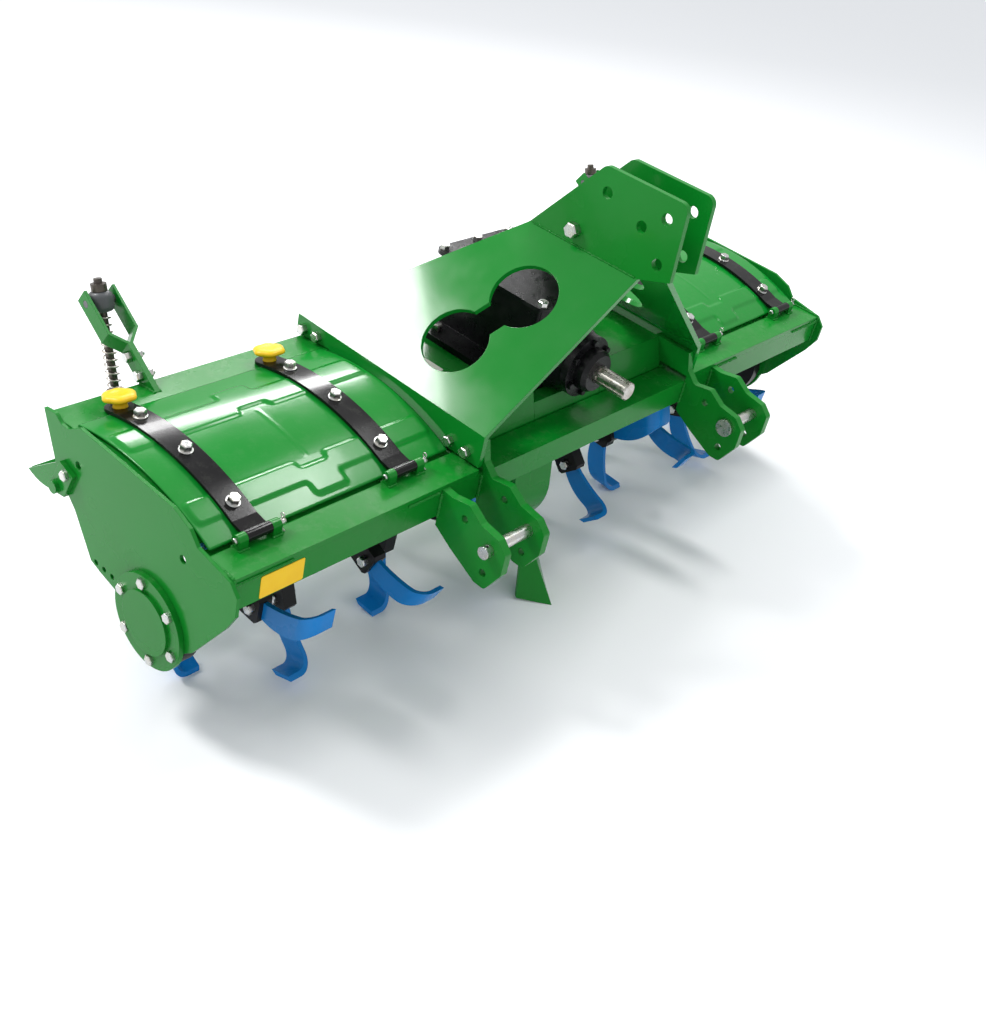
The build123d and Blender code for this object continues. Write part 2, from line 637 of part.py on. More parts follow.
def lid_hinges():
    """Knuckles welded to the left sill either side of each strap, with the hinge pins."""
    section = polygon((HINGE_Y - KNUCKLE_R, 0), (BEAM_DEPTH, 0), (BEAM_DEPTH, HINGE_Z), (HINGE_Y - KNUCKLE_R, HINGE_Z))
    section += Pos(HINGE_Y, HINGE_Z) * Circle(KNUCKLE_R)
    reach = STRAP_WIDTH / 2 + RUN
    hinges = []
    for x in STRAP_X:
        left = across(section, -x - reach - KNUCKLE_LENGTH, -x - reach)
        right = across(section, -x + reach, -x + reach + KNUCKLE_LENGTH)
        pin = round_bar(HINGE_Y, HINGE_Z, PIN_R, -x - reach, -x + reach)
        hinges.append(left + right + pin)
    return hinges[0] + hinges[1]


def bent_bar(side, reach):
    """Blade's bar from the front: straight up to the shoulder, then bent to one side."""
    shoulder = reach - BEND_R
    inner = BEND_R - BLADE_T
    bend = cos(radians(45))
    tip = side * TIP_SIDE
    heel = side * BEND_R
    thick = side * BLADE_T
    outer_arc = ThreePointArc(
        (0, shoulder), (heel * (1 - bend), shoulder + BEND_R * bend), (heel, reach)
    )
    inner_arc = ThreePointArc(
        (heel, reach - BLADE_T), (heel - side * inner * bend, shoulder + inner * bend), (thick, shoulder)
    )
    return make_face([
        Line((0, BLADE_ROOT_R), (0, shoulder)), outer_arc, Line((heel, reach), (tip, reach)),
        Line((tip, reach), (tip, reach - BLADE_T)), Line((tip, reach - BLADE_T), inner_arc @ 0), inner_arc,
        Line((thick, shoulder), (thick, BLADE_ROOT_R)), Line((thick, BLADE_ROOT_R), (0, BLADE_ROOT_R)),
    ])


def blade(side):
    """One blade pointing up: a bar bent sideways at its tip, cut to its swept outline."""
    reach = sqrt(BLADE_R ** 2 - TIP_TRAIL ** 2)
    half = BLADE_WIDTH / 2
    lead_tip = TIP_TRAIL - BLADE_WIDTH - 4
    lead = ThreePointArc((-half, HOLDER_R), (-half + 8, (HOLDER_R + reach) / 2 + 8), (lead_tip, reach + 1))
    trail = ThreePointArc((TIP_TRAIL, reach + 1), (half + 14, (HOLDER_R + reach) / 2 - 4), (half, HOLDER_R))
    outline = make_face([
        Line((-half, BLADE_ROOT_R), (-half, HOLDER_R)), lead, Line(lead @ 1, trail @ 0), trail,
        Line((half, HOLDER_R), (half, BLADE_ROOT_R)), Line((half, BLADE_ROOT_R), (-half, BLADE_ROOT_R)),
    ])
    bar = extrude(Plane.XZ * bent_bar(side, reach), BLADE_R, both=True)
    bar &= across(outline, -TIP_SIDE - BLADE_T, TIP_SIDE + BLADE_T)
    return Pos(-side * BLADE_T / 2, 0, 0) * bar


def holder():
    """Socket on the shaft for one blade, pointing up, open at its top for the blade's root."""
    width = BLADE_WIDTH + 2 * HOLDER_WALL
    thick = BLADE_T + 2 * HOLDER_WALL
    low = SHAFT_R * 0.6
    block = Pos(0, 0, low) * Box(thick, width, HOLDER_R - low, align=(Align.CENTER, Align.CENTER, Align.MIN))
    block = chamfer(block.edges().filter_by(Axis.X).sort_by(Axis.Z)[-2:], 6)
    slot = Box(BLADE_T, BLADE_WIDTH, BLADE_R, align=(Align.CENTER, Align.CENTER, Align.MIN))
    return block - Pos(0, 0, BLADE_ROOT_R) * slot


def stations(inner):
    """Blade stations of one side, from the outer one in to the drop case."""
    count = floor((OUTER_STATION - inner) / STATION_PITCH) + 1
    return [OUTER_STATION - STATION_PITCH * i for i in range(count)]


def park_lean():
    """Nose-down lean in degrees that puts the share's tip and the lowest blades on one floor."""
    ahead = AXIS_Y - SHARE_TIP_Y
    above = AXIS_Z - SHARE_TIP_Z
    return degrees(atan2(ahead, above) - acos(STAND_R / hypot(ahead, above)))


def rest_turn():
    """Turn that stands the rotor on two neighbouring tips, with the machine leaning as it parks."""
    tip_down = 180 + degrees(atan2(TIP_TRAIL, sqrt(BLADE_R ** 2 - TIP_TRAIL ** 2)))
    return tip_down + TIP_PITCH / 2 - park_lean()


def placed(shape, x, turn):
    return Pos(x, AXIS_Y, AXIS_Z) * Rot(turn, 0, 0) * shape


def rotor(side):
    """Shaft with holders, and the blades, of one side; side is -1 on the left."""
    case_face = DROP_X + side * DROP_WIDTH / 2
    cover = SIDE_COVER_T if side < 0 else 0
    start = side * case_face + cover + AIR
    shaft = round_bar(0, 0, SHAFT_R, start, INSIDE - HOUSING_T - AIR)
    shaft += round_bar(0, 0, BEARING_R, start - AIR - cover - CASE_BEARING, INSIDE)
    blades = []
    places = stations(start + BLADE_T / 2 + HOLDER_WALL + AIR)
    for i, x in enumerate(places):
        for end in range(2):
            turn = STATION_TURN * i + 180 * end
            inward = i == 0 or (i < len(places) - 1 and (i + end) % 2 == 0)
            shaft += Pos(x, 0, 0) * Rot(turn, 0, 0) * holder()
            blades.append(Pos(x, 0, 0) * Rot(turn, 0, 0) * blade(-1 if inward else 1))
    bars = Part() + blades
    if side < 0:
        shaft, bars = mirrored(shaft), mirrored(bars)
    return placed(shaft, 0, rest_turn()), placed(bars, 0, rest_turn())


def board_arc(lift):
    """Board's curve from front to rear, lifted off its lower face."""
    front = (BOARD_Y + 6, BOARD_Z - 14)
    middle = (BOARD_Y + BOARD_LENGTH / 2, BOARD_Z - 46)
    rear = (BOARD_Y + BOARD_LENGTH, BOARD_Z - 42)
    (cy, cz), radius = circle_through(front, middle, rear)
    share = (radius - lift) / radius
    return ThreePointArc(*((cy + (y - cy) * share, cz + (z - cz) * share) for y, z in (front, middle, rear)))


def trailing_board():
    """Curved sheet between the cheeks."""
    lower = board_arc(0)
    upper = board_arc(BOARD_T)
    section = make_face([lower, Line(lower @ 1, upper @ 1), upper, Line(upper @ 0, lower @ 0)])
    inside = INSIDE - CHEEK_GAP - CHEEK
    return across(section, -inside, inside)


def board_cheek():
    """Left crescent cheek at the board's end, with its pivot eye."""
    arc = board_arc(0)
    top = Line(arc @ 1, (BOARD_Y + 26, BOARD_Z + 22))
    face = make_face([arc, top, Line(top @ 1, (BOARD_Y, BOARD_Z)), Line((BOARD_Y, BOARD_Z), arc @ 0)])
    face += Pos(BOARD_Y, BOARD_Z) * Circle(PIVOT_R + 8)
    face -= Pos(BOARD_Y, BOARD_Z) * Circle(PIVOT_R + RUN)
    outer = INSIDE - CHEEK_GAP
    return across(face, -outer, -outer + CHEEK)


def board_lug():
    """Left pair of ears on the board with the pin through the rod's eye."""
    seat = board_arc(BOARD_T)
    over = make_face([
        seat, Line(seat @ 1, (EYE_Y + 60, 0)), Line((EYE_Y + 60, 0), (BOARD_Y, 0)), Line((BOARD_Y, 0), seat @ 0),
    ])
    ear = over & polygon(
        (EYE_Y - 22, BOARD_Z - 52), (EYE_Y - 12, EYE_Z + 12), (EYE_Y + 12, EYE_Z + 12), (EYE_Y + 20, BOARD_Z - 52)
    )
    near = EYE_WIDTH / 2 + 4
    far = near + LUG_PLATE
    ears = across(ear, -ROD_X - far, -ROD_X - near) + across(ear, -ROD_X + near, -ROD_X + far)
    return ears + round_bar(EYE_Y, EYE_Z, PIVOT_R, -ROD_X - far, -ROD_X + far)


def board_bracket():
    """Plate on the left end plate with the pin that carries the board's cheek."""
    plate = polygon(
        (BOARD_Y - 44, BOARD_Z + 42), (BOARD_Y - 10, BOARD_Z + 52),
        (BOARD_Y + 14, BOARD_Z + 4), (BOARD_Y + 8, BOARD_Z - 14), (BOARD_Y - 22, BOARD_Z - 8),
    )
    pin = round_bar(BOARD_Y, BOARD_Z, PIVOT_R, -HALF - BRACKET_T, -INSIDE + CHEEK_GAP + CHEEK + 3)
    head = round_bar(BOARD_Y, BOARD_Z, PIVOT_R + 5, -HALF - BRACKET_T - 7, -HALF - BRACKET_T)
    return across(plate, -HALF - BRACKET_T, -HALF) + pin + head


def rod_plane():
    """Plane at the left trunnion whose normal runs down the rod to its eye."""
    down = Vector(0, EYE_Y - TRUNNION_Y, EYE_Z - TRUNNION_Z).normalized()
    return Plane(origin=(-ROD_X, TRUNNION_Y, TRUNNION_Z), x_dir=(1, 0, 0), z_dir=down)


def rod_length():
    return hypot(EYE_Y - TRUNNION_Y, EYE_Z - TRUNNION_Z)


def turned(radius, low, high):
    return Pos(0, 0, low) * Cylinder(radius, high - low, align=(Align.CENTER, Align.CENTER, Align.MIN))


def rod_trunnion():
    """Left trunnion block with its two pivot studs, bored for the rod."""
    block = Box(FORK_GAP - 6, TRUNNION, TRUNNION)
    block = fillet(block.edges().filter_by(Axis.Z), 8)
    studs = Rot(0, 90, 0) * Cylinder(PIVOT_R, FORK_GAP + 2 * FORK_T)
    return rod_plane() * (block + studs - Cylinder(ROD_R + RUN, 2 * TRUNNION))


def spring_rod():
    """Left rod: stop nut over the trunnion, spring seat and a wide eye round the board's pin."""
    stop = TRUNNION / 2 + SEAT
    seat = TRUNNION / 2 + SPRING_LENGTH + 2 * SEAT
    rod = turned(ROD_R, -stop - 20, rod_length() - EYE_BORE_R - 1)
    rod += turned(ROD_R + 6, -stop - 12, -stop) + turned(SPRING_R, seat, seat + SEAT_T)
    eye = Pos(0, 0, rod_length()) * Rot(0, 90, 0) * Cylinder(EYE_R, EYE_WIDTH)
    bore = Pos(0, 0, rod_length()) * Rot(0, 90, 0) * Cylinder(EYE_BORE_R, 2 * EYE_WIDTH)
    return rod_plane() * (rod + eye - bore)


def spring():
    """Left spring: a sleeve with one ridge for each coil."""
    pitch = SPRING_LENGTH / SPRING_COILS
    start = TRUNNION / 2 + SEAT
    bore = SPRING_R - SPRING_WIRE
    groove = SPRING_R - 0.6 * SPRING_WIRE
    points = [(bore, start)]
    for coil in range(SPRING_COILS):
        low = start + pitch * coil
        points += [(groove, low), (SPRING_R, low + pitch * 0.3), (SPRING_R, low + pitch * 0.7)]
    points += [(groove, start + SPRING_LENGTH), (bore, start + SPRING_LENGTH)]
    return rod_plane() * revolve(Plane.XZ * polygon(*points), Axis.Z)


def rod_fork():
    """Left stand: two plates bolted back to back on the rear beam and splayed round the trunnion."""
    foot = Vector(0, FORK_FOOT_Y, strip_height(FORK_FOOT_Y))
    rise = Vector(0, TRUNNION_Y, TRUNNION_Z) - foot
    length = rise.length
    along = rise.normalized()
    plane = Plane(origin=(-ROD_X, foot.Y, foot.Z), x_dir=along, z_dir=(0, along.Z, -along.Y))
    spread = FORK_GAP / 2
    bent = folded([(-40, 0), (length - 86, 0), (length - 62, spread), (length + 16, spread)], FORK_T)
    plate = extrude(plane * bent, FORK_WIDTH / 2, both=True)
    bore = Pos(-ROD_X, TRUNNION_Y, TRUNNION_Z) * Rot(0, 90, 0) * Cylinder(PIVOT_R + RUN, 2 * FORK_GAP)
    below = across(
        polygon((FORK_FOOT_Y - 90, strip_height(FORK_FOOT_Y - 90)), (HOOD_DEPTH + 40, strip_height(HOOD_DEPTH + 40)),
                (HOOD_DEPTH + 40, -200), (FORK_FOOT_Y - 90, -200)), -HALF, HALF
    )
    plate = plate - bore - below
    return plate + Pos(-2 * ROD_X, 0, 0) * mirrored(plate)


def both(shape):
    """The left piece and its mirror image, as one node."""
    return shape + mirrored(shape)


def pieces():
    """Every node by name, still level, in the frame of the sections."""
    shaft_left, blades_left = rotor(-1)
    shaft_right, blades_right = rotor(1)
    return {
        "end_plate_left": end_plate(),
        "end_plate_right": mirrored(end_plate()),
        "front_beam": front_beam(),
        "lid_sills": both(lid_sill()),
        "rear_beam": rear_beam(),
        "hood_deck": deck(),
        "hanger_left": hanger(),
        "hanger_right": mirrored(hanger()),
        "mast_plate_left": mast_plate(),
        "mast_plate_right": mirrored(mast_plate()),
        "mast_spacer": mast_spacer(),
        "hitch_ears_left": hitch_ears(),
        "hitch_ears_right": mirrored(hitch_ears()),
        "hitch_pins": both(hitch_pin()),
        "gearbox_case": gearbox_case(),
        "gearbox_cover": gearbox_cover(),
        "input_housing": input_housing(),
        "drop_case": drop_case(),
        "drop_case_cover": drop_case_cover(),
        "centre_share": centre_share(),
        "bearing_housings": both(bearing_housing()),
        "bearing_covers": both(bearing_cover()),
        "lid_hinges": both(lid_hinges()),
        "rod_forks": both(rod_fork()),
        "board_brackets": both(board_bracket()),
        "rotor_shaft_left": shaft_left,
        "rotor_shaft_right": shaft_right,
        "blades_left": blades_left,
        "blades_right": blades_right,
        "input_shaft": input_shaft(),
        "lid_left": lid(),
        "lid_right": mirrored(lid()),
        "lid_straps_left": lid_straps(),
        "lid_straps_right": mirrored(lid_straps()),
        "knobs_left": knobs(),
        "knobs_right": mirrored(knobs()),
        "trailing_board": trailing_board(),
        "board_cheeks": both(board_cheek()),
        "board_lugs": both(board_lug()),
        "rod_trunnion_left": rod_trunnion(),
        "rod_trunnion_right": mirrored(rod_trunnion()),
        "spring_rod_left": spring_rod(),
        "spring_rod_right": mirrored(spring_rod()),
        "rod_spring_left": spring(),
        "rod_spring_right": mirrored(spring()),
    }


def footprint(nodes):
    """Move that puts the middle of the whole machine's footprint at the origin."""
    boxes = [shape.bounding_box() for shape in nodes.values()]
    low = Vector(*(min(axis) for axis in zip(*((b.min.X, b.min.Y, b.min.Z) for b in boxes))))
    high = Vector(*(max(axis) for axis in zip(*((b.max.X, b.max.Y, b.max.Z) for b in boxes))))
    return Pos(-(low.X + high.X) / 2, -(low.Y + high.Y) / 2, -low.Z)


LEAN = Rot(park_lean(), 0, 0)
NODES = {name: LEAN * shape for name, shape in pieces().items()}
SHIFT = footprint(NODES)
os.makedirs("parts", exist_ok=True)
for name, shape in NODES.items():
    export_step(SHIFT * shape, f"parts/{name}.step")
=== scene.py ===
import json
from math import atan2, cos, hypot, pi, radians, sin, sqrt

import bmesh
import bpy
from mathutils import Matrix, Vector


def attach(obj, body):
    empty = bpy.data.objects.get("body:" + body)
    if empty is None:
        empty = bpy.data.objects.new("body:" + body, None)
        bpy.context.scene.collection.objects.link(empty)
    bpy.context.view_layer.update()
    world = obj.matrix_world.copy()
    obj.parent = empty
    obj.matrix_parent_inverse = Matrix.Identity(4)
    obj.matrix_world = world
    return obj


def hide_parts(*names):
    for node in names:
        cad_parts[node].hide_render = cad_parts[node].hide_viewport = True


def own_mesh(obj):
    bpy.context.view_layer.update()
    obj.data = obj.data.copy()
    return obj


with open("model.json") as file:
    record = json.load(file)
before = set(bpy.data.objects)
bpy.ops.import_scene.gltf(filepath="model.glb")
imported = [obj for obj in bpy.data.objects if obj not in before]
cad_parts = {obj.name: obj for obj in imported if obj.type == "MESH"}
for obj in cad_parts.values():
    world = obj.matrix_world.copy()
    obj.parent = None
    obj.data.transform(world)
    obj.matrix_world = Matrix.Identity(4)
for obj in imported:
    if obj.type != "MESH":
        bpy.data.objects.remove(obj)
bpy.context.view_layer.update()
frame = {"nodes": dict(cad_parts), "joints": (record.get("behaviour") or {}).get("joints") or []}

# The hood's welded shell: end plates, front beam with its sills, rear beam and deck. Plate and folded
# sheet, sprayed with one thick coat of bright green enamel that flows into a faint orange peel.
# Places on the machine are given in millimetres from the front top edge of the hood, with the hood level.
ROTOR_AXIS = (0, 165, -188)
joints = {joint["name"]: joint for joint in frame["joints"]}
input_axis = joints["input_spin"]["axis"]
park_lean = atan2(-input_axis[2], -input_axis[1])
hood_frame = (
    Matrix.Translation(joints["rotor_spin"]["pos_m"])
    @ Matrix.Rotation(park_lean, 4, "X")
    @ Matrix.Translation(-Vector(ROTOR_AXIS) / 1000)
)


def at(x, y, z):
    """Place on the level machine, in millimetres, as a point of the frame."""
    return hood_frame @ (Vector((x, y, z)) / 1000)


def heading(x, y, z):
    """Direction on the level machine, in the frame."""
    return (hood_frame.to_3x3() @ Vector((x, y, z))).normalized()


SURFACE_OUTPUTS = (
    ("Colour", "NodeSocketColor"), ("Roughness", "NodeSocketFloat"), ("Height", "NodeSocketFloat"),
)


def shader_group(name, inputs):
    """Empty surface group with named inputs, and its two end nodes."""
    group = bpy.data.node_groups.new(name, "ShaderNodeTree")
    for label, kind, value in inputs:
        socket = group.interface.new_socket(label, in_out="INPUT", socket_type=kind)
        if value is not None:
            socket.default_value = value
    for label, kind in SURFACE_OUTPUTS:
        group.interface.new_socket(label, in_out="OUTPUT", socket_type=kind)
    return group, group.nodes.new("NodeGroupInput"), group.nodes.new("NodeGroupOutput")


def noise(tree, vector, scale, detail, rough=0.5):
    node = tree.nodes.new("ShaderNodeTexNoise")
    node.inputs["Detail"].default_value = detail
    node.inputs["Roughness"].default_value = rough
    tree.links.new(vector, node.inputs["Vector"])
    if isinstance(scale, (int, float)):
        node.inputs["Scale"].default_value = scale
    else:
        tree.links.new(scale, node.inputs["Scale"])
    return node.outputs["Fac"]


def ramp(tree, value, low, high, start, end):
    """Value carried from one range to another, clamped at both ends."""
    node = tree.nodes.new("ShaderNodeMapRange")
    tree.links.new(value, node.inputs["Value"])
    for label, number in (("From Min", low), ("From Max", high)):
        node.inputs[label].default_value = number
    for label, number in (("To Min", start), ("To Max", end)):
        if isinstance(number, (int, float)):
            node.inputs[label].default_value = number
        else:
            tree.links.new(number, node.inputs[label])
    return node.outputs["Result"]


def times(tree, first, second, operation="MULTIPLY"):
    node = tree.nodes.new("ShaderNodeMath")
    node.operation = operation
    for socket, value in zip(node.inputs, (first, second)):
        if isinstance(value, (int, float)):
            socket.default_value = value
        else:
            tree.links.new(value, socket)
    return node.outputs["Value"]


def blended(tree, factor, first, second):
    node = tree.nodes.new("ShaderNodeMix")
    node.data_type = "RGBA"
    tree.links.new(factor, node.inputs["Factor"])
    for socket, value in ((node.inputs["A"], first), (node.inputs["B"], second)):
        if isinstance(value, tuple):
            socket.default_value = value
        else:
            tree.links.new(value, socket)
    return node.outputs["Result"]


def enamel_group():
    """Sprayed enamel: colour in broad clouds, peel in the gloss and thin dust on top faces."""
    group, start, end = shader_group(
        "sprayed_enamel",
        [("Vector", "NodeSocketVector", None), ("Colour", "NodeSocketColor", (0.02, 0.3, 0.04, 1)),
         ("Thin Colour", "NodeSocketColor", (0.03, 0.22, 0.03, 1)), ("Gloss", "NodeSocketFloat", 0.25),
         ("Peel", "NodeSocketFloat", 420.0), ("Dust", "NodeSocketFloat", 0.1)],
    )
    vector = start.outputs["Vector"]
    clouds = ramp(group, noise(group, vector, 3.2, 4), 0.35, 0.7, 0.0, 0.75)
    coat = blended(group, clouds, start.outputs["Colour"], start.outputs["Thin Colour"])
    normal = group.nodes.new("ShaderNodeNewGeometry").outputs["Normal"]
    split = group.nodes.new("ShaderNodeSeparateXYZ")
    group.links.new(normal, split.inputs["Vector"])
    upward = ramp(group, split.outputs["Z"], 0.55, 1.0, 0.0, 1.0)
    specks = ramp(group, noise(group, vector, 46, 6, 0.7), 0.5, 0.78, 0.0, 1.0)
    dust = times(group, times(group, upward, specks), start.outputs["Dust"])
    colour = blended(group, dust, coat, (0.33, 0.36, 0.28, 1))
    wipe = ramp(group, noise(group, vector, 9, 3), 0.3, 0.7, -0.05, 0.06)
    wiped = times(group, start.outputs["Gloss"], wipe, "ADD")
    rough = times(group, wiped, times(group, dust, 0.35), "ADD")
    group.links.new(colour, end.inputs["Colour"])
    group.links.new(rough, end.inputs["Roughness"])
    group.links.new(noise(group, vector, start.outputs["Peel"], 2), end.inputs["Height"])
    return group


EDGE_ROUND = 0.0012


def surfaced(name, group, values, constants, depth):
    """Material with one surface group and rounded edges; depth is the height of its bump in metres."""
    material = bpy.data.materials.new(name)
    material.use_nodes = True
    tree = material.node_tree
    shader = tree.nodes["Principled BSDF"]
    skin = tree.nodes.new("ShaderNodeGroup")
    skin.node_tree = group
    place = tree.nodes.new("ShaderNodeTexCoord")
    tree.links.new(place.outputs["Object"], skin.inputs["Vector"])
    for label, value in values.items():
        skin.inputs[label].default_value = value
    for label, value in constants.items():
        shader.inputs[label].default_value = value
    tree.links.new(skin.outputs["Colour"], shader.inputs["Base Color"])
    tree.links.new(skin.outputs["Roughness"], shader.inputs["Roughness"])
    edges = tree.nodes.new("ShaderNodeBevel")
    edges.samples = 4
    edges.inputs["Radius"].default_value = EDGE_ROUND
    bump = tree.nodes.new("ShaderNodeBump")
    tree.links.new(edges.outputs["Normal"], bump.inputs["Normal"])
    bump.inputs["Strength"].default_value = 1.0
    bump.inputs["Distance"].default_value = depth
    tree.links.new(skin.outputs["Height"], bump.inputs["Height"])
    tree.links.new(bump.outputs["Normal"], shader.inputs["Normal"])
    return material


def coat(material, *nodes):
    """Gives nodes of the frame a finish."""
    for name in nodes:
        for slot in frame["nodes"][name].material_slots:
            slot.material = material


enamel = enamel_group()
GREEN = (0.003, 0.2, 0.018, 1)
GREEN_THIN = (0.006, 0.165, 0.013, 1)
green = surfaced(
    "green_enamel", enamel,
    {"Colour": GREEN, "Thin Colour": GREEN_THIN, "Gloss": 0.24, "Peel": 330.0, "Dust": 0.1},
    {"Specular IOR Level": 0.16, "Coat Weight": 0.08, "Coat Roughness": 0.06}, 0.00006,
)
coat(green, "end_plate_left", "end_plate_right", "front_beam", "lid_sills", "rear_beam", "hood_deck")


def piece(name, mesh, body, slot, *nodes):
    """Finished mesh as a piece that rides on a body, standing for nodes if any are named."""
    made = bpy.data.objects.new(name, mesh)
    bpy.context.scene.collection.objects.link(made)
    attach(made, body)
    if nodes:
        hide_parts(*nodes)
    return made


def node_tree(name, inputs):
    """Empty Geometry Nodes tree with named inputs, and the inputs' identifiers."""
    tree = bpy.data.node_groups.new(name, "GeometryNodeTree")
    tree.is_modifier = True
    tree.interface.new_socket("Geometry", in_out="INPUT", socket_type="NodeSocketGeometry")
    keys = {}
    for label, kind in inputs:
        keys[label] = tree.interface.new_socket(label, in_out="INPUT", socket_type=kind).identifier
    tree.interface.new_socket("Geometry", in_out="OUTPUT", socket_type="NodeSocketGeometry")
    return tree, tree.nodes.new("NodeGroupInput"), tree.nodes.new("NodeGroupOutput"), keys


def grown(name, mesh, tree, values):
    """Plain mesh that a Geometry Nodes tree makes of a mesh."""
    seed = bpy.data.objects.new(name, mesh)
    bpy.context.scene.collection.objects.link(seed)
    modifier = seed.modifiers.new("grow", "NODES")
    modifier.node_group = tree
    for key, value in values.items():
        modifier[key] = value
    bpy.context.view_layer.update()
    result = bpy.data.meshes.new_from_object(seed.evaluated_get(bpy.context.evaluated_depsgraph_get()))
    seed.modifiers.clear()
    bpy.data.objects.remove(seed)
    return result


def named(tree, label, kind):
    node = tree.nodes.new("GeometryNodeInputNamedAttribute")
    node.data_type = kind
    node.inputs["Name"].default_value = label
    return node.outputs["Attribute"]


def random_number(tree, low, high, seed):
    node = tree.nodes.new("FunctionNodeRandomValue")
    node.data_type = "FLOAT"
    node.inputs[2].default_value = low
    node.inputs[3].default_value = high
    node.inputs["Seed"].default_value = seed
    return node.outputs[1]


# Bolts and nuts: zinc-plated hexagon heads with a chamfered crown on a flat washer, and nuts with a
# stub of thread. They are run in with an air wrench, so each one has stopped at its own turn.
def plating_group():
    """Zinc plate: silver that drifts to straw and pale blue, with dull patches from the bath."""
    group, start, end = shader_group(
        "zinc_plating",
        [("Vector", "NodeSocketVector", None), ("Colour", "NodeSocketColor", (0.6, 0.61, 0.6, 1)),
         ("Tint", "NodeSocketColor", (0.62, 0.56, 0.42, 1)), ("Gloss", "NodeSocketFloat", 0.3)],
    )
    vector = start.outputs["Vector"]
    clouds = ramp(group, noise(group, vector, 70, 3), 0.42, 0.68, 0.0, 0.8)
    colour = blended(group, clouds, start.outputs["Colour"], start.outputs["Tint"])
    group.links.new(colour, end.inputs["Colour"])
    patches = ramp(group, noise(group, vector, 160, 4), 0.3, 0.75, -0.08, 0.16)
    group.links.new(times(group, start.outputs["Gloss"], patches, "ADD"), end.inputs["Roughness"])
    group.links.new(noise(group, vector, 900, 3), end.inputs["Height"])
    return group


plating = plating_group()
zinc = surfaced(
    "zinc_plate", plating,
    {"Colour": (0.58, 0.59, 0.59, 1), "Tint": (0.6, 0.57, 0.5, 1), "Gloss": 0.27},
    {"Metallic": 1.0}, 0.000008,
)


def ring(bm, count, radius, z):
    turns = [2 * pi * i / count for i in range(count)]
    return [bm.verts.new((radius * cos(turn), radius * sin(turn), z)) for turn in turns]


def bridge(bm, low, high, smooth):
    for i in range(len(low)):
        j = (i + 1) % len(low)
        face = bm.faces.new((low[i], low[j], high[j], high[i]))
        face.smooth = smooth


def stacked(bm, rings, smooth):
    """Closed form through rings from its foot to its top, which it gives back."""
    for low, high in zip(rings, rings[1:]):
        bridge(bm, low, high, smooth)
    bm.faces.new(list(reversed(rings[0])))
    return bm.faces.new(rings[-1])


def finished(name, bm, material=None):
    """Mesh of a bmesh, with its doubles merged and its faces turned outwards."""
    bmesh.ops.remove_doubles(bm, verts=bm.verts, dist=1e-7)
    bmesh.ops.recalc_face_normals(bm, faces=bm.faces)
    mesh = bpy.data.meshes.new(name)
    bm.to_mesh(mesh)
    bm.free()
    if material:
        mesh.materials.append(material)
    return mesh


WASHER_PROFILE = ((0.68, 0.0), (0.68, 0.09), (0.64, 0.12))
WASHER_SEAT = 0.1
HEAD_CORNER = 0.5 / cos(pi / 6)
HEAD_PROFILE = ((1.0, 0.0), (1.0, 0.54), (0.86, 0.62))
THREAD_PROFILE = (
    (0.3, 0.5), (0.3, 0.66), (0.27, 0.7), (0.3, 0.76), (0.27, 0.81), (0.3, 0.87), (0.24, 0.93),
)


def hexagon_mesh(name, with_washer, with_thread):
    """Hexagon of unit width across its flats, on a washer or bare, with or without a stub of thread."""
    bm = bmesh.new()
    foot = WASHER_SEAT if with_washer else 0.0
    if with_washer:
        stacked(bm, [ring(bm, 20, radius, z) for radius, z in WASHER_PROFILE], True)
    stacked(bm, [ring(bm, 6, HEAD_CORNER * share, foot + z) for share, z in HEAD_PROFILE], False)
    if with_thread:
        stacked(bm, [ring(bm, 12, radius, foot + z) for radius, z in THREAD_PROFILE], True)
    return finished(name, bm)


def end_tree(tree, start, end, geometry):
    """Ends a tree with its instances made real and its finish set."""
    realize = tree.nodes.new("GeometryNodeRealizeInstances")
    tree.links.new(geometry, realize.inputs["Geometry"])
    material = tree.nodes.new("GeometryNodeSetMaterial")
    tree.links.new(realize.outputs["Geometry"], material.inputs["Geometry"])
    tree.links.new(start.outputs["Finish"], material.inputs["Material"])
    tree.links.new(material.outputs["Geometry"], end.inputs["Geometry"])


def seat_tree():
    """Puts a fastener on each seat point, along its facing, at its own size and turn."""
    tree, start, end, keys = node_tree(
        "fasteners_on_seats", [("Fastener", "NodeSocketObject"), ("Finish", "NodeSocketMaterial")]
    )
    nodes, links = tree.nodes, tree.links
    info = nodes.new("GeometryNodeObjectInfo")
    links.new(start.outputs["Fastener"], info.inputs["Object"])
    aim = nodes.new("FunctionNodeAlignRotationToVector")
    aim.axis = "Z"
    links.new(named(tree, "facing", "FLOAT_VECTOR"), aim.inputs["Vector"])
    spin = nodes.new("FunctionNodeAxisAngleToRotation")
    links.new(random_number(tree, 0.0, 2 * pi, 7), spin.inputs["Angle"])
    turned = nodes.new("FunctionNodeRotateRotation")
    turned.rotation_space = "LOCAL"
    links.new(aim.outputs["Rotation"], turned.inputs["Rotation"])
    links.new(spin.outputs["Rotation"], turned.inputs["Rotate By"])
    instances = nodes.new("GeometryNodeInstanceOnPoints")
    links.new(start.outputs["Geometry"], instances.inputs["Points"])
    links.new(info.outputs["Geometry"], instances.inputs["Instance"])
    links.new(turned.outputs["Rotation"], instances.inputs["Rotation"])
    links.new(named(tree, "across", "FLOAT"), instances.inputs["Scale"])
    end_tree(tree, start, end, instances.outputs["Instances"])
    return tree, keys


seats_tree, seat_keys = seat_tree()
fastener_kinds = {}
for kind, *extras in (("bolt", False, False), ("washered_bolt", True, False), ("nut", True, True)):
    pattern_mesh = hexagon_mesh(f"{kind}_pattern", *extras)
    fastener_kinds[kind] = bpy.data.objects.new(f"{kind}_pattern", pattern_mesh)
    bpy.context.scene.collection.objects.link(fastener_kinds[kind])


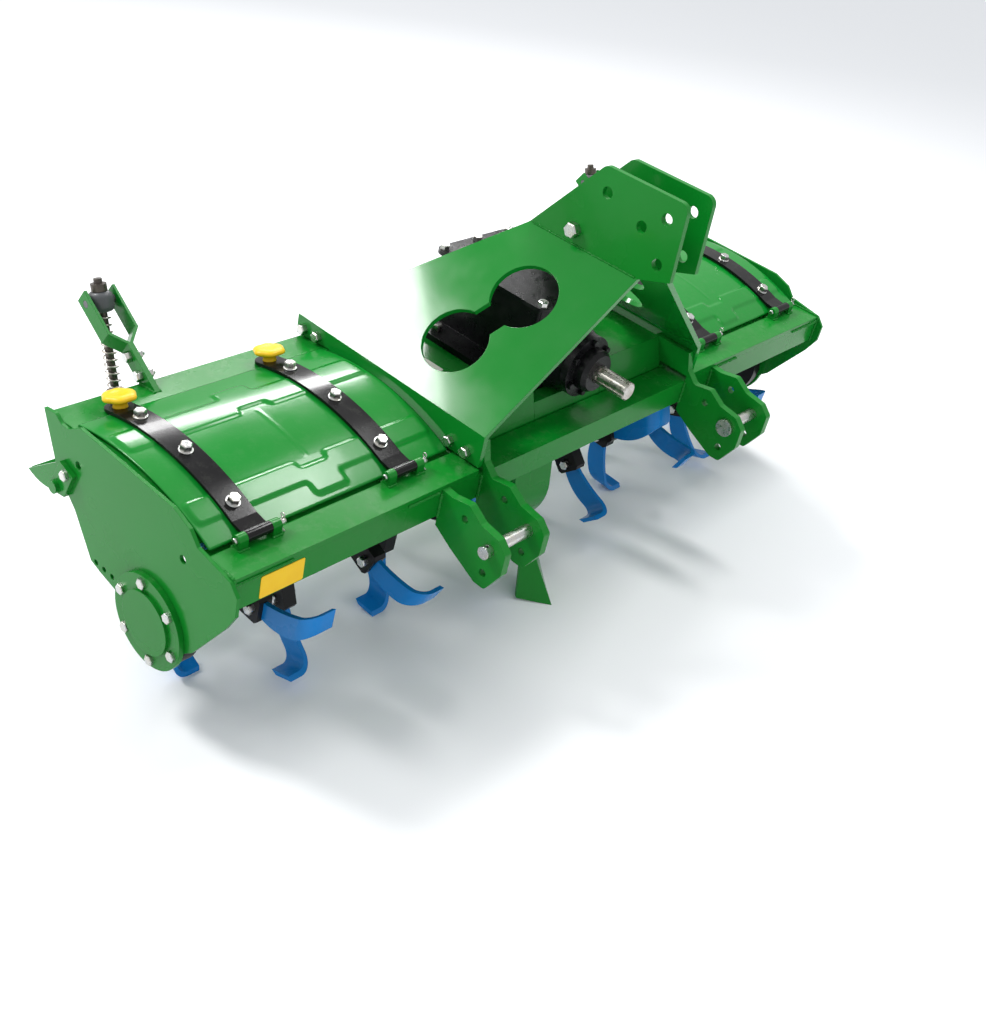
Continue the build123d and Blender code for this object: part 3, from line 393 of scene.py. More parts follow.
def fasten(name, kind, body, seats, finish=zinc, slot="zinc"):
    """Fasteners of one kind; each seat is a point, the way its head faces and its width in mm."""
    mesh = bpy.data.meshes.new(name)
    mesh.from_pydata([point for point, _, _ in seats], [], [])
    mesh.attributes.new("facing", "FLOAT_VECTOR", "POINT")
    mesh.attributes.new("across", "FLOAT", "POINT")
    for i, (_, way, width) in enumerate(seats):
        mesh.attributes["facing"].data[i].vector = way
        mesh.attributes["across"].data[i].value = width / 1000
    result = grown(
        name, mesh, seats_tree,
        {seat_keys["Fastener"]: fastener_kinds[kind], seat_keys["Finish"]: finish},
    )
    return piece(name, result, body, slot)


# Weld beads: short runs of stacked drops where plates are joined by hand, painted over with the plates.
# They stand on the seams of the hitch ears, the hinges, the forks and the front beam's ends.
def bead_tree():
    """Row of flattened drops along each edge of a mesh, uneven in size."""
    tree, start, end, keys = node_tree(
        "weld_beads",
        [("Drop", "NodeSocketFloat"), ("Pitch", "NodeSocketFloat"), ("Finish", "NodeSocketMaterial")],
    )
    nodes, links = tree.nodes, tree.links
    curve = nodes.new("GeometryNodeMeshToCurve")
    links.new(start.outputs["Geometry"], curve.inputs["Mesh"])
    points = nodes.new("GeometryNodeCurveToPoints")
    points.mode = "LENGTH"
    links.new(curve.outputs["Curve"], points.inputs["Curve"])
    links.new(start.outputs["Pitch"], points.inputs["Length"])
    drop = nodes.new("GeometryNodeMeshUVSphere")
    drop.inputs["Segments"].default_value = 8
    drop.inputs["Rings"].default_value = 5
    links.new(start.outputs["Drop"], drop.inputs["Radius"])
    smooth = nodes.new("GeometryNodeSetShadeSmooth")
    links.new(drop.outputs["Mesh"], smooth.inputs["Geometry"])
    size = nodes.new("ShaderNodeCombineXYZ")
    for socket, (low, high, seed) in zip(size.inputs, ((0.85, 1.25, 3), (0.85, 1.25, 4), (0.6, 0.95, 5))):
        links.new(random_number(tree, low, high, seed), socket)
    instances = nodes.new("GeometryNodeInstanceOnPoints")
    links.new(points.outputs["Points"], instances.inputs["Points"])
    links.new(smooth.outputs["Geometry"], instances.inputs["Instance"])
    links.new(points.outputs["Rotation"], instances.inputs["Rotation"])
    links.new(size.outputs["Vector"], instances.inputs["Scale"])
    end_tree(tree, start, end, instances.outputs["Instances"])
    return tree, keys


beads_tree, bead_keys = bead_tree()
BEAD_PITCH = 0.9


def weld_seams(name, body, runs, drop=3.2, finish=green, slot="green_paint"):
    """Beads along straight runs; each run is two points of the level machine, in mm."""
    corners = [at(*point) for run in runs for point in run]
    mesh = bpy.data.meshes.new(name)
    mesh.from_pydata(corners, [(2 * i, 2 * i + 1) for i in range(len(runs))], [])
    result = grown(
        name, mesh, beads_tree,
        {
            bead_keys["Drop"]: drop / 1000,
            bead_keys["Pitch"]: BEAD_PITCH * drop / 1000,
            bead_keys["Finish"]: finish,
        },
    )
    return piece(name, result, body, slot)


HALF_WIDTH = 813
END_PLATE = 6
INSIDE = HALF_WIDTH - END_PLATE
BEAM_DEPTH = 60
SILL = 10
BEAM_FOOT = -58
FLANGE_X = 312
SILL_WELDS = ((806, 700), (470, 404))
shell_runs = []
for side in (-1, 1):
    x = side * (INSIDE - 1)
    shell_runs += [((x, 2, 1), (x, BEAM_DEPTH, 1)), ((x, -1, -2), (x, -1, BEAM_FOOT))]
    shell_runs += [((side * a, -1, -SILL), (side * b, -1, -SILL)) for a, b in SILL_WELDS]
weld_seams("shell_welds", "frame", shell_runs, 2.6)

# Bearings at the end plates: a black cast drum inside, and outside a green turned cover held by six
# bolts in shallow counterbores, which run through the plate into the drum.
def bolt_circle(count, radius, first):
    """Bolt places round a circle, from the angle of the first one in degrees."""
    turns = [radians(360 / count * i + first) for i in range(count)]
    return [(radius * cos(turn), radius * sin(turn)) for turn in turns]


COVER_SEAT = HALF_WIDTH + 5
COVER_HEAD = 16
coat(green, "bearing_covers")
cover_seats = [
    (at(side * COVER_SEAT, ROTOR_AXIS[1] + y, ROTOR_AXIS[2] + z), (side, 0, 0), COVER_HEAD)
    for side in (-1, 1) for y, z in bolt_circle(6, 67, 18)
]
fasten("bearing_cover_bolts", "bolt", "frame", cover_seats)

# Hood lids: arched sheet with pressed bands, in the same enamel but smoother, because sheet takes the
# spray better than plate. They shine in long soft bands.
lid_green = surfaced(
    "green_lid_enamel", enamel,
    {"Colour": (0.003, 0.215, 0.022, 1), "Thin Colour": (0.004, 0.185, 0.016, 1),
     "Gloss": 0.18, "Peel": 190.0, "Dust": 0.04},
    {"Specular IOR Level": 0.2, "Coat Weight": 0.15, "Coat Roughness": 0.05}, 0.00004,
)
LID_T = 2
LID_SEAT = 0.4
LID_SIDE_GAP = 9
LID_FRONT = (66, 5)
LID_CROWN = (224, 46)
LID_REAR = (382, 31)
RIB_RISE = 2.5
RIB_END = 6
RIB_ROUND = 9
RIB_SLOPE = 4
FRONT_RIB = (100, 142)
REAR_RIB = (262, 318)
TONGUE = (34, 24)
NOTCH = (26, 14)
CREASE_RISE = 0.7
CREASE_HALF = 3.5
LID_GRID = 3


def circle_through(a, b, c):
    """Centre and radius of the circle through three points."""
    (ax, ay), (bx, by), (cx, cy) = a, b, c
    d = 2 * (ax * (by - cy) + bx * (cy - ay) + cx * (ay - by))
    a2, b2, c2 = ax * ax + ay * ay, bx * bx + by * by, cx * cx + cy * cy
    x = (a2 * (by - cy) + b2 * (cy - ay) + c2 * (ay - by)) / d
    y = (a2 * (cx - bx) + b2 * (ax - cx) + c2 * (bx - ax)) / d
    return (x, y), hypot(ax - x, ay - y)


(arc_y, arc_z), arc_r = circle_through(LID_FRONT, LID_CROWN, LID_REAR)


def lid_height(y, lift):
    return arc_z + sqrt((arc_r + lift) ** 2 - (y - arc_y) ** 2)


def soft_least(a, b):
    """Smaller of two depths, with the corner between them rounded."""
    overlap = max(RIB_ROUND - abs(a - b), 0) / RIB_ROUND
    return min(a, b) - overlap * overlap * RIB_ROUND / 4


def box_depth(x, y, middle, half):
    """How deep a place lies inside a rectangle with rounded corners."""
    return soft_least(half[0] - abs(x - middle[0]), half[1] - abs(y - middle[1]))


def band_depth(x, y, band, tongue_edge, notch_edge, half_length):
    """How deep a place lies inside a pressed band; x is measured from the lid's middle."""
    body = box_depth(x, y, (0, sum(band) / 2), (half_length, (band[1] - band[0]) / 2))
    tongue = box_depth(x, y, (0, tongue_edge), TONGUE)
    notch = box_depth(x, y, (0, notch_edge), NOTCH)
    return soft_least(-soft_least(-body, -tongue), -notch)


def pressed_lift(x, y, half_length):
    """Lift of the sheet at a place: two pressed bands with sloping walls and a crease between them."""
    front = band_depth(x, y, FRONT_RIB, FRONT_RIB[0], FRONT_RIB[1], half_length)
    rear = band_depth(x, y, REAR_RIB, REAR_RIB[1], REAR_RIB[0], half_length)
    share = min(max(max(front, rear) / RIB_SLOPE, 0), 1)
    crease = 0.0
    if FRONT_RIB[1] < y < REAR_RIB[0]:
        crease = CREASE_RISE * max(1 - abs(x) / CREASE_HALF, 0)
    return LID_SEAT + RIB_RISE * share * share * (3 - 2 * share) + crease


def lid_mesh(side):
    """Sheet of one lid with both faces and its rim."""
    inner, outer = FLANGE_X + LID_SIDE_GAP, INSIDE - LID_SIDE_GAP
    middle = (inner + outer) / 2
    columns = round((outer - inner) / LID_GRID)
    rows = round((LID_REAR[0] - LID_FRONT[0]) / LID_GRID)
    bm = bmesh.new()
    faces = []
    for sheet in (0, -LID_T):
        grid = []
        for j in range(rows + 1):
            y = LID_FRONT[0] + (LID_REAR[0] - LID_FRONT[0]) * j / rows
            line = []
            for i in range(columns + 1):
                x = inner + (outer - inner) * i / columns
                lift = pressed_lift(x - middle, y, (outer - inner) / 2 - RIB_END)
                line.append(bm.verts.new(at(side * x, y, lid_height(y, lift + sheet))))
            grid.append(line)
        for low, high in zip(grid, grid[1:]):
            for i in range(columns):
                bm.faces.new((low[i], low[i + 1], high[i + 1], high[i])).smooth = True
        faces.append(grid)
    rims = []
    for grid in faces:
        outer_edge = [row[-1] for row in grid[1:]]
        inner_edge = [row[0] for row in grid[-2:0:-1]]
        rims.append(grid[0] + outer_edge + grid[-1][-2::-1] + inner_edge)
    bridge(bm, rims[0], rims[1], False)
    return finished("pressed_lid", bm, lid_green)


for side, label in ((-1, "left"), (1, "right")):
    piece(f"pressed_lid_{label}", lid_mesh(side), f"lid_{label}", "green_paint", f"lid_{label}")

# Lid straps: bent flat steel in gloss black, bolted through the lid at three places. The bolts sit on
# the strap's own curve, so each one leans with it.
black_gloss = surfaced(
    "black_gloss", enamel,
    {"Colour": (0.004, 0.004, 0.005, 1), "Thin Colour": (0.009, 0.008, 0.008, 1),
     "Gloss": 0.16, "Peel": 260.0, "Dust": 0.05},
    {"Specular IOR Level": 0.16, "Coat Weight": 0.12, "Coat Roughness": 0.04}, 0.00005,
)
coat(black_gloss, "lid_straps_left", "lid_straps_right")
STRAP_X = (434, 724)
STRAP_BOLTS_Y = (111, 223, 333)
STRAP_T = 5
STRAP_HEAD = 17
STRAP_LIFT = LID_SEAT + RIB_RISE + STRAP_T
for side, label in ((-1, "left"), (1, "right")):
    seats = []
    for x in STRAP_X:
        for y in STRAP_BOLTS_Y:
            z = lid_height(y, STRAP_LIFT)
            seats.append((at(side * x, y, z), heading(0, y - arc_y, z - arc_z), STRAP_HEAD))
    fasten(f"strap_bolts_{label}", "washered_bolt", f"lid_{label}", seats)

# Lid knobs: moulded yellow hand knobs with six soft lobes on a waisted neck, one on each strap's tail.
# The moulding is thick, so every edge is round, and the plastic is a little cloudy.
def plastic_group():
    """Moulded plastic: faint flow clouds in the colour and a fine spark-eroded grain."""
    group, start, end = shader_group(
        "moulded_plastic",
        [("Vector", "NodeSocketVector", None), ("Colour", "NodeSocketColor", (0.8, 0.5, 0.03, 1)),
         ("Flow Colour", "NodeSocketColor", (0.7, 0.4, 0.02, 1)), ("Gloss", "NodeSocketFloat", 0.4)],
    )
    vector = start.outputs["Vector"]
    flow = ramp(group, noise(group, vector, 38, 3), 0.35, 0.7, 0.0, 0.7)
    colour = blended(group, flow, start.outputs["Colour"], start.outputs["Flow Colour"])
    group.links.new(colour, end.inputs["Colour"])
    scuffs = ramp(group, noise(group, vector, 120, 5), 0.3, 0.7, -0.05, 0.1)
    group.links.new(times(group, start.outputs["Gloss"], scuffs, "ADD"), end.inputs["Roughness"])
    group.links.new(noise(group, vector, 1400, 2), end.inputs["Height"])
    return group


plastic = plastic_group()
yellow = surfaced(
    "yellow_plastic", plastic,
    {"Colour": (0.82, 0.53, 0.008, 1), "Flow Colour": (0.78, 0.45, 0.006, 1), "Gloss": 0.34},
    {"Specular IOR Level": 0.3}, 0.00003,
)
KNOB_R = 28
KNOB_LOBE = 2.6
KNOB_SIDES = 48
KNOB_PROFILE = (
    (0.43, 0.0, 0.0), (0.42, 1.0, 0.0), (0.38, 4.5, 0.0), (0.42, 8.5, 0.1), (0.6, 11.2, 0.6),
    (0.86, 12.4, 0.9), (0.97, 14.4, 1.0), (1.0, 16.6, 1.0), (0.97, 19.0, 1.0), (0.87, 21.4, 0.9),
    (0.68, 22.6, 0.5), (0.42, 22.8, 0.1), (0.36, 22.2, 0.0), (0.18, 22.0, 0.0),
)


def placed_ring(bm, place, radii, height):
    """Ring of points about the place's Z axis, each with its own radius in mm."""
    row = []
    for i, radius in enumerate(radii):
        turn = 2 * pi * i / len(radii)
        point = Vector((radius * cos(turn), radius * sin(turn), height)) / 1000
        row.append(bm.verts.new(place @ point))
    return row


def knob_mesh(bm, place):
    """One knob, its neck on the place's origin."""
    lobes = [0.5 - 0.5 * cos(12 * pi * i / KNOB_SIDES) for i in range(KNOB_SIDES)]
    rings = []
    for share, height, lobed in KNOB_PROFILE:
        radii = [share * (KNOB_R - KNOB_LOBE * lobed * lobe) for lobe in lobes]
        rings.append(placed_ring(bm, place, radii, height))
    stacked(bm, rings, True).smooth = True


STRAP_ROOT_Y = 360
STRAP_TAIL = 48
TAIL_FALL = 0.24
tail_z = lid_height(STRAP_ROOT_Y, STRAP_LIFT)
for side, label in ((-1, "left"), (1, "right")):
    bm = bmesh.new()
    for x in STRAP_X:
        seat = at(side * x, STRAP_ROOT_Y + STRAP_TAIL / 2, tail_z - TAIL_FALL * STRAP_TAIL / 2)
        place = Matrix.Translation(seat) @ Matrix.Rotation(park_lean - atan2(TAIL_FALL, 1), 4, "X")
        knob_mesh(bm, place)
    knobs = finished("hand_knobs", bm, yellow)
    piece(f"hand_knobs_{label}", knobs, f"lid_{label}", "yellow_plastic", f"knobs_{label}")

# Lid hinges: green knuckles welded on the sill, a zinc pin with a chamfered end through each pair, and a
# split pin bent over at its inner end.
coat(green, "lid_hinges")
HINGE = (54, 14)
HINGE_PIN_R = 5
KNUCKLE = 16
KNUCKLE_REACH = 22.4 + KNUCKLE
HINGE_SEAMS = ((44, 0.5), (61, -1))
SPLIT_PIN = 9
SPLIT_PIN_OUT = 6.5


def turned_mesh(bm, place, profile, count=20, bored=False):
    """Turned form about the place's Z axis, solid or bored; the profile is radius and height in mm."""
    rings = [placed_ring(bm, place, [radius] * count, height) for radius, height in profile]
    if not bored:
        stacked(bm, rings, True)
        return
    for low, high in zip(rings, rings[1:] + rings[:1]):
        bridge(bm, low, high, True)


def facing_place(point, way):
    """Placement whose Z axis runs along a direction of the frame."""
    return Matrix.Translation(point) @ Vector(way).to_track_quat("Z", "Y").to_matrix().to_4x4()


def wire_mesh(bm, path, radius, count=8):
    """Round wire along points in mm of the level machine, closed at both ends."""
    points = [at(*point) for point in path]
    rings = []
    for i, point in enumerate(points):
        along = points[min(i + 1, len(points) - 1)] - points[max(i - 1, 0)]
        rings.append(placed_ring(bm, facing_place(point, along), [radius] * count, 0))
    stacked(bm, rings, True)


def split_pin(bm, x, y, z, size):
    """Split pin through a pin that lies along X: eye above, one leg bent forward and one back."""
    eye = [
        (x, y + size * 0.42 * sin(turn), z + size * (1.25 + 0.42 * cos(turn)))
        for turn in [radians(200 + 32 * i) for i in range(11)]
    ]
    for lean in (-1, 1):
        leg = [(x, y + lean * size * 0.1, z + size * 0.95), (x, y + lean * size * 0.1, z - size * 0.9)]
        leg += [(x, y + lean * size * 0.3, z - size * 1.25), (x, y + lean * size * 0.85, z - size * 1.4)]
        wire_mesh(bm, leg, size * 0.11)
    wire_mesh(bm, eye, size * 0.11)


PIN_END_PROFILE = ((HINGE_PIN_R, -2), (HINGE_PIN_R, 3.2), (HINGE_PIN_R - 1.2, 4.4))
LONG_END_PROFILE = ((HINGE_PIN_R, -2), (HINGE_PIN_R, 10.5), (HINGE_PIN_R - 1.2, 11.7))
bm = bmesh.new()
hinge_runs = []
for side in (-1, 1):
    for x in STRAP_X:
        low, high = side * x - KNUCKLE_REACH, side * x + KNUCKLE_REACH
        turned_mesh(bm, facing_place(at(low, *HINGE), (-1, 0, 0)), PIN_END_PROFILE)
        turned_mesh(bm, facing_place(at(high, *HINGE), (1, 0, 0)), LONG_END_PROFILE)
        split_pin(bm, high + SPLIT_PIN_OUT, *HINGE, SPLIT_PIN)
        for start, end in ((low, low + KNUCKLE), (high - KNUCKLE, high)):
            hinge_runs += [((start, y, z), (end, y, z)) for y, z in HINGE_SEAMS]
piece("hinge_pins", finished("hinge_pins", bm, zinc), "frame", "zinc")
weld_seams("hinge_welds", "frame", hinge_runs, 2.6)

# Hangers and mast: thick plate bent to a roof over the gearbox, bolted to brackets on both beams, with
# the two mast plates drawn together on a spacer by one long bolt. The bends are welded along the top.
roof_green = surfaced(
    "green_roof_enamel", enamel,
    {"Colour": (0.003, 0.21, 0.02, 1), "Thin Colour": (0.004, 0.185, 0.016, 1),
     "Gloss": 0.14, "Peel": 500.0, "Dust": 0.02},
    {"Specular IOR Level": 0.25, "Coat Weight": 0.15, "Coat Roughness": 0.06}, 0.00002,
)
coat(roof_green, "hanger_left", "hanger_right")
coat(green, "mast_plate_left", "mast_plate_right")
coat(zinc, "mast_spacer")
MAST_FACE = 41
MAST_BOLT = (115, 319)
MAST_HEAD = 24
FLANGE_HEAD = 17
FLANGE_BOLTS = ((33, 17), (71, 17), (402, 42), (438, 39))
fasten("mast_bolt", "bolt", "frame", [(at(-MAST_FACE, *MAST_BOLT), (-1, 0, 0), MAST_HEAD)])
fasten("mast_nut", "nut", "frame", [(at(MAST_FACE, *MAST_BOLT), (1, 0, 0), MAST_HEAD)])
flange_seats = [
    (at(side * FLANGE_X, y, z), (side, 0, 0), FLANGE_HEAD) for side in (-1, 1) for y, z in FLANGE_BOLTS
]
fasten("flange_bolts", "bolt", "frame", flange_seats)
MAST_BEND = 294
MAST_SEAM = (-20, 200)
mast_runs = [[(side * MAST_FACE, y, MAST_BEND) for y in MAST_SEAM] for side in (-1, 1)]
weld_seams("mast_welds", "frame", mast_runs, 2.2)


def prism(bm, near, far):
    """Straight form between two outlines with as many corners."""
    bridge(bm, near, far, False)
    bm.faces.new(near)
    bm.faces.new(far)


GUSSET = ((305, 59), (282, 59), (282, 70), (292, 79), (305, 79))
GUSSET_LEVELS = (-12, -9)
bm = bmesh.new()
for side in (-1, 1):
    prism(bm, *[[bm.verts.new(at(side * x, y, z)) for x, y in GUSSET] for z in GUSSET_LEVELS])
piece("corner_gussets", finished("corner_gussets", bm, green), "frame", "green_paint")

# Lower hitch: flame-cut ears welded to the beam's front face, with a turned zinc pin through each pair.
# The pins are drawn when the machine is hitched, so their cross holes are empty.
coat(green, "hitch_ears_left", "hitch_ears_right")
coat(zinc, "hitch_pins")
HITCH_MIDDLE = 341.5
EAR = 15
EAR_INNER = 39.5
ear_runs = []
for side in (-1, 1):
    for face in (EAR_INNER, EAR_INNER + EAR, -EAR_INNER, -EAR_INNER - EAR):
        x = side * HITCH_MIDDLE + face
        ear_runs.append(((x, -1, -14), (x, -1, BEAM_FOOT)))
weld_seams("ear_welds", "frame", ear_runs, 3.4)

# Gearbox: grey iron castings with a sandy skin, painted gloss black. A bolted cover, a bearing cap with
# six small bolts round the nose, lugs bolted to the deck, and a bare splined shaft.
def casting_group():
    """Painted casting: sand grain under the paint, with broad hollows and thin spots."""
    group, start, end = shader_group(
        "painted_casting",
        [("Vector", "NodeSocketVector", None), ("Colour", "NodeSocketColor", (0.006, 0.006, 0.007, 1)),
         ("Thin Colour", "NodeSocketColor", (0.02, 0.02, 0.02, 1)), ("Gloss", "NodeSocketFloat", 0.32)],
    )
    vector = start.outputs["Vector"]
    thin = ramp(group, noise(group, vector, 26, 5, 0.65), 0.45, 0.75, 0.0, 1.0)
    colour = blended(group, thin, start.outputs["Colour"], start.outputs["Thin Colour"])
    group.links.new(colour, end.inputs["Colour"])
    dull = ramp(group, noise(group, vector, 60, 3), 0.3, 0.7, -0.06, 0.12)
    group.links.new(times(group, start.outputs["Gloss"], dull, "ADD"), end.inputs["Roughness"])
    grain = noise(group, vector, 420, 3)
    hollows = times(group, noise(group, vector, 55, 2), 1.6)
    group.links.new(times(group, grain, hollows, "ADD"), end.inputs["Height"])
    return group


casting = casting_group()
black_casting = surfaced(
    "black_casting", casting,
    {"Colour": (0.005, 0.005, 0.006, 1), "Thin Colour": (0.014, 0.014, 0.014, 1), "Gloss": 0.3},
    {"Specular IOR Level": 0.18, "Coat Weight": 0.06, "Coat Roughness": 0.1}, 0.0003,
)
coat(black_casting, "gearbox_case", "gearbox_cover", "input_housing")
bright = surfaced(
    "bright_steel", plating,
    {"Colour": (0.52, 0.5, 0.47, 1), "Tint": (0.4, 0.36, 0.31, 1), "Gloss": 0.3},
    {"Metallic": 1.0}, 0.00003,
)
coat(bright, "input_shaft")
COVER_TOP = 189
CASE_X = 86
CASE_Y = (110, 344)
CASE_MIDDLE = 227
CASE_HEAD = 16
LUG_TOP = 58
LUG_X = 122
LUG_Y = (155, 300)
LUG_HEAD = 20
upward = heading(0, 0, 1)
case_seats = [(at(x, y, COVER_TOP), upward, CASE_HEAD) for x in (-CASE_X, 0, CASE_X) for y in CASE_Y]
case_seats += [(at(x, CASE_MIDDLE, COVER_TOP), upward, CASE_HEAD) for x in (-CASE_X, CASE_X)]
case_seats += [(at(x, y, LUG_TOP), upward, LUG_HEAD) for x in (-LUG_X, LUG_X) for y in LUG_Y]
fasten("gearbox_bolts", "bolt", "frame", case_seats)
INPUT_Z = 79
CAP_FACE = 46
CAP_HEAD = 12
cap_seats = [
    (at(x, CAP_FACE, INPUT_Z + z), heading(0, -1, 0), CAP_HEAD) for x, z in bolt_circle(6, 49, 30)
]
fasten("cap_bolts", "bolt", "frame", cap_seats, black_casting, "black_casting")
APRON = ((60, -22), (75, 18), (103, 18), (103, 15), (77, 15), (63, -23))
APRON_HALF = 93
bm = bmesh.new()
prism(bm, *[[bm.verts.new(at(x, y, z)) for y, z in APRON] for x in (-APRON_HALF, APRON_HALF)])
piece("apron", finished("apron", bm, green), "frame", "green_paint")

# Drop case: green box from the gearbox to the rotor with a round cover held by eight nuts, and the
# forged V share bolted under it.
coat(green, "drop_case", "drop_case_cover", "centre_share")
SIDE_COVER_FACE = -121
SIDE_NUT = 12
side_seats = [
    (at(SIDE_COVER_FACE, ROTOR_AXIS[1] + y, ROTOR_AXIS[2] + z), (-1, 0, 0), SIDE_NUT)
    for y, z in bolt_circle(8, 88, 22)
]
fasten("side_cover_nuts", "nut", "frame", side_seats)

# Rotor: black tube with welded holders, and forged blades in blue enamel, each drawn into its holder by
# one bolt through both walls.
black_satin = surfaced(
    "black_satin", enamel,
    {"Colour": (0.006, 0.006, 0.007, 1), "Thin Colour": (0.014, 0.013, 0.012, 1),
     "Gloss": 0.34, "Peel": 420.0, "Dust": 0.06},
    {"Specular IOR Level": 0.16}, 0.00008,
)
coat(black_satin, "rotor_shaft_left", "rotor_shaft_right", "bearing_housings")
blue = surfaced(
    "blue_enamel", enamel,
    {"Colour": (0.004, 0.2, 0.56, 1), "Thin Colour": (0.006, 0.16, 0.46, 1),
     "Gloss": 0.27, "Peel": 380.0, "Dust": 0.05},
    {"Specular IOR Level": 0.18, "Coat Weight": 0.06, "Coat Roughness": 0.1}, 0.00008,
)
coat(blue, "blades_left", "blades_right")
BLADE_R = 188
TIP_TRAIL = 62
TIP_PITCH = 22.5
STATION_TURN = 3 * TIP_PITCH
OUTER_STATION = 742
STATION_PITCH = 83
STATIONS = {-1: 8, 1: 9}
HOLDER_FACE = 13
HOLDER_BOLT_R = 60
BLADE_HEAD = 17
blade_sweep = atan2(TIP_TRAIL, sqrt(BLADE_R ** 2 - TIP_TRAIL ** 2))
rest_turn = pi + blade_sweep + radians(TIP_PITCH / 2) - park_lean
blade_seats = {"bolt": [], "nut": []}
for side, count in STATIONS.items():
    for i in range(count):
        for end in range(2):
            turn = rest_turn + radians(STATION_TURN * i + 180 * end)
            y = ROTOR_AXIS[1] - HOLDER_BOLT_R * sin(turn)
            z = ROTOR_AXIS[2] + HOLDER_BOLT_R * cos(turn)
            x = side * (OUTER_STATION - STATION_PITCH * i)
            blade_seats["bolt"].append((at(x - HOLDER_FACE, y, z), (-1, 0, 0), BLADE_HEAD))
            blade_seats["nut"].append((at(x + HOLDER_FACE, y, z), (1, 0, 0), BLADE_HEAD))
for kind, seats in blade_seats.items():
    fasten(f"blade_{kind}s", kind, "rotor", seats)

# Trailing board: rolled sheet between two cheeks that swing on pins in the end plates' brackets, in
# the hood's green. One bolt on each side holds the bracket.
coat(green, "trailing_board", "board_cheeks", "board_lugs", "board_brackets")
BRACKET_SEAT = 818
BRACKET_BOLT = (379, -50)
BRACKET_HEAD = 16
bracket_seats = [
    (at(side * BRACKET_SEAT, *BRACKET_BOLT), (side, 0, 0), BRACKET_HEAD) for side in (-1, 1)
]
fasten("bracket_bolts", "bolt", "frame", bracket_seats)

# Spring rods: two bent green plates bolted back to back hold a grey trunnion, and the oiled rod slides
# through it against a coil spring that shortens when the board lifts. The rod's dark colour is partly its
# oiled steel and partly painted shade: its tip stands for the shaded hollow inside the tube's top.
coat(green, "rod_forks")
# Dark brown rod and collar: partly the oiled steel's own colour, partly painted shade, so the rod's tip
# reads as the shaded hollow in the tube's top.
dark_steel_and_painted_shade = surfaced(
    "oiled_steel_and_painted_shade", plating,
    {"Colour": (0.1, 0.085, 0.07, 1), "Tint": (0.06, 0.05, 0.045, 1), "Gloss": 0.34},
    {"Metallic": 0.6}, 0.00002,
)
coat(dark_steel_and_painted_shade, "spring_rod_left", "spring_rod_right")
grey = surfaced(
    "grey_paint", casting,
    {"Colour": (0.07, 0.075, 0.08, 1), "Thin Colour": (0.12, 0.12, 0.12, 1), "Gloss": 0.38},
    {"Coat Weight": 0.1}, 0.0002,
)
ROD_X = 640
FORK_FOOT = (428, 24.4)
TRUNNION = (563, 112)
EYE = (497, -98)
FORK_HALF = 5
FORK_BOLTS = (22, 58)
FORK_HEAD = 16
FORK_SEAM = ((406, 26.5), (445, 23))
SPRING_LENGTH = 132
SPRING_MEAN_R = 10.4
SPRING_WIRE = 3.2
SPRING_START = 16.4
TRUNNION_PROFILE = (
    (7.4, -16), (16.5, -16), (19, -13.5), (20, -8), (20, 7), (18.6, 12), (15, 15), (12, 16), (7.4, 16),
)
STUD_R = 6
STUD_END = 28
SPRING_TURNS = 11
fork_rise = Vector((TRUNNION[0] - FORK_FOOT[0], TRUNNION[1] - FORK_FOOT[1])).normalized()
fork_seats = {"bolt": [], "nut": []}
for side in (-1, 1):
    for distance in FORK_BOLTS:
        y, z = FORK_FOOT[0] + distance * fork_rise.x, FORK_FOOT[1] + distance * fork_rise.y
        fork_seats["bolt"].append((at(side * ROD_X - FORK_HALF, y, z), (-1, 0, 0), FORK_HEAD))
        fork_seats["nut"].append((at(side * ROD_X + FORK_HALF, y, z), (1, 0, 0), FORK_HEAD))
for kind, seats in fork_seats.items():
    fasten(f"fork_{kind}s", kind, "frame", seats)
fork_runs = []
for side in (-1, 1):
    for edge in (-FORK_HALF, FORK_HALF):
        fork_runs.append([(side * ROD_X + edge, y, z) for y, z in FORK_SEAM])
weld_seams("fork_welds", "frame", fork_runs, 2.8)


def spring_tree():
    """Coil spring along Z: round wire swept along a spiral, closed at both ends."""
    tree, start, end, keys = node_tree(
        "coil_spring",
        [("Turns", "NodeSocketFloat"), ("Radius", "NodeSocketFloat"), ("Wire", "NodeSocketFloat"),
         ("Length", "NodeSocketFloat"), ("Finish", "NodeSocketMaterial")],
    )
    nodes, links = tree.nodes, tree.links
    spiral = nodes.new("GeometryNodeCurveSpiral")
    spiral.inputs["Resolution"].default_value = 28
    links.new(start.outputs["Turns"], spiral.inputs["Rotations"])
    for label in ("Start Radius", "End Radius"):
        links.new(start.outputs["Radius"], spiral.inputs[label])
    links.new(start.outputs["Length"], spiral.inputs["Height"])
    profile = nodes.new("GeometryNodeCurvePrimitiveCircle")
    profile.inputs["Resolution"].default_value = 10
    links.new(start.outputs["Wire"], profile.inputs["Radius"])
    wire = nodes.new("GeometryNodeCurveToMesh")
    links.new(spiral.outputs["Curve"], wire.inputs["Curve"])
    links.new(profile.outputs["Curve"], wire.inputs["Profile Curve"])
    wire.inputs["Fill Caps"].default_value = True
    smooth = nodes.new("GeometryNodeSetShadeSmooth")
    links.new(wire.outputs["Mesh"], smooth.inputs["Geometry"])
    end_tree(tree, start, end, smooth.outputs["Geometry"])
    return tree, keys


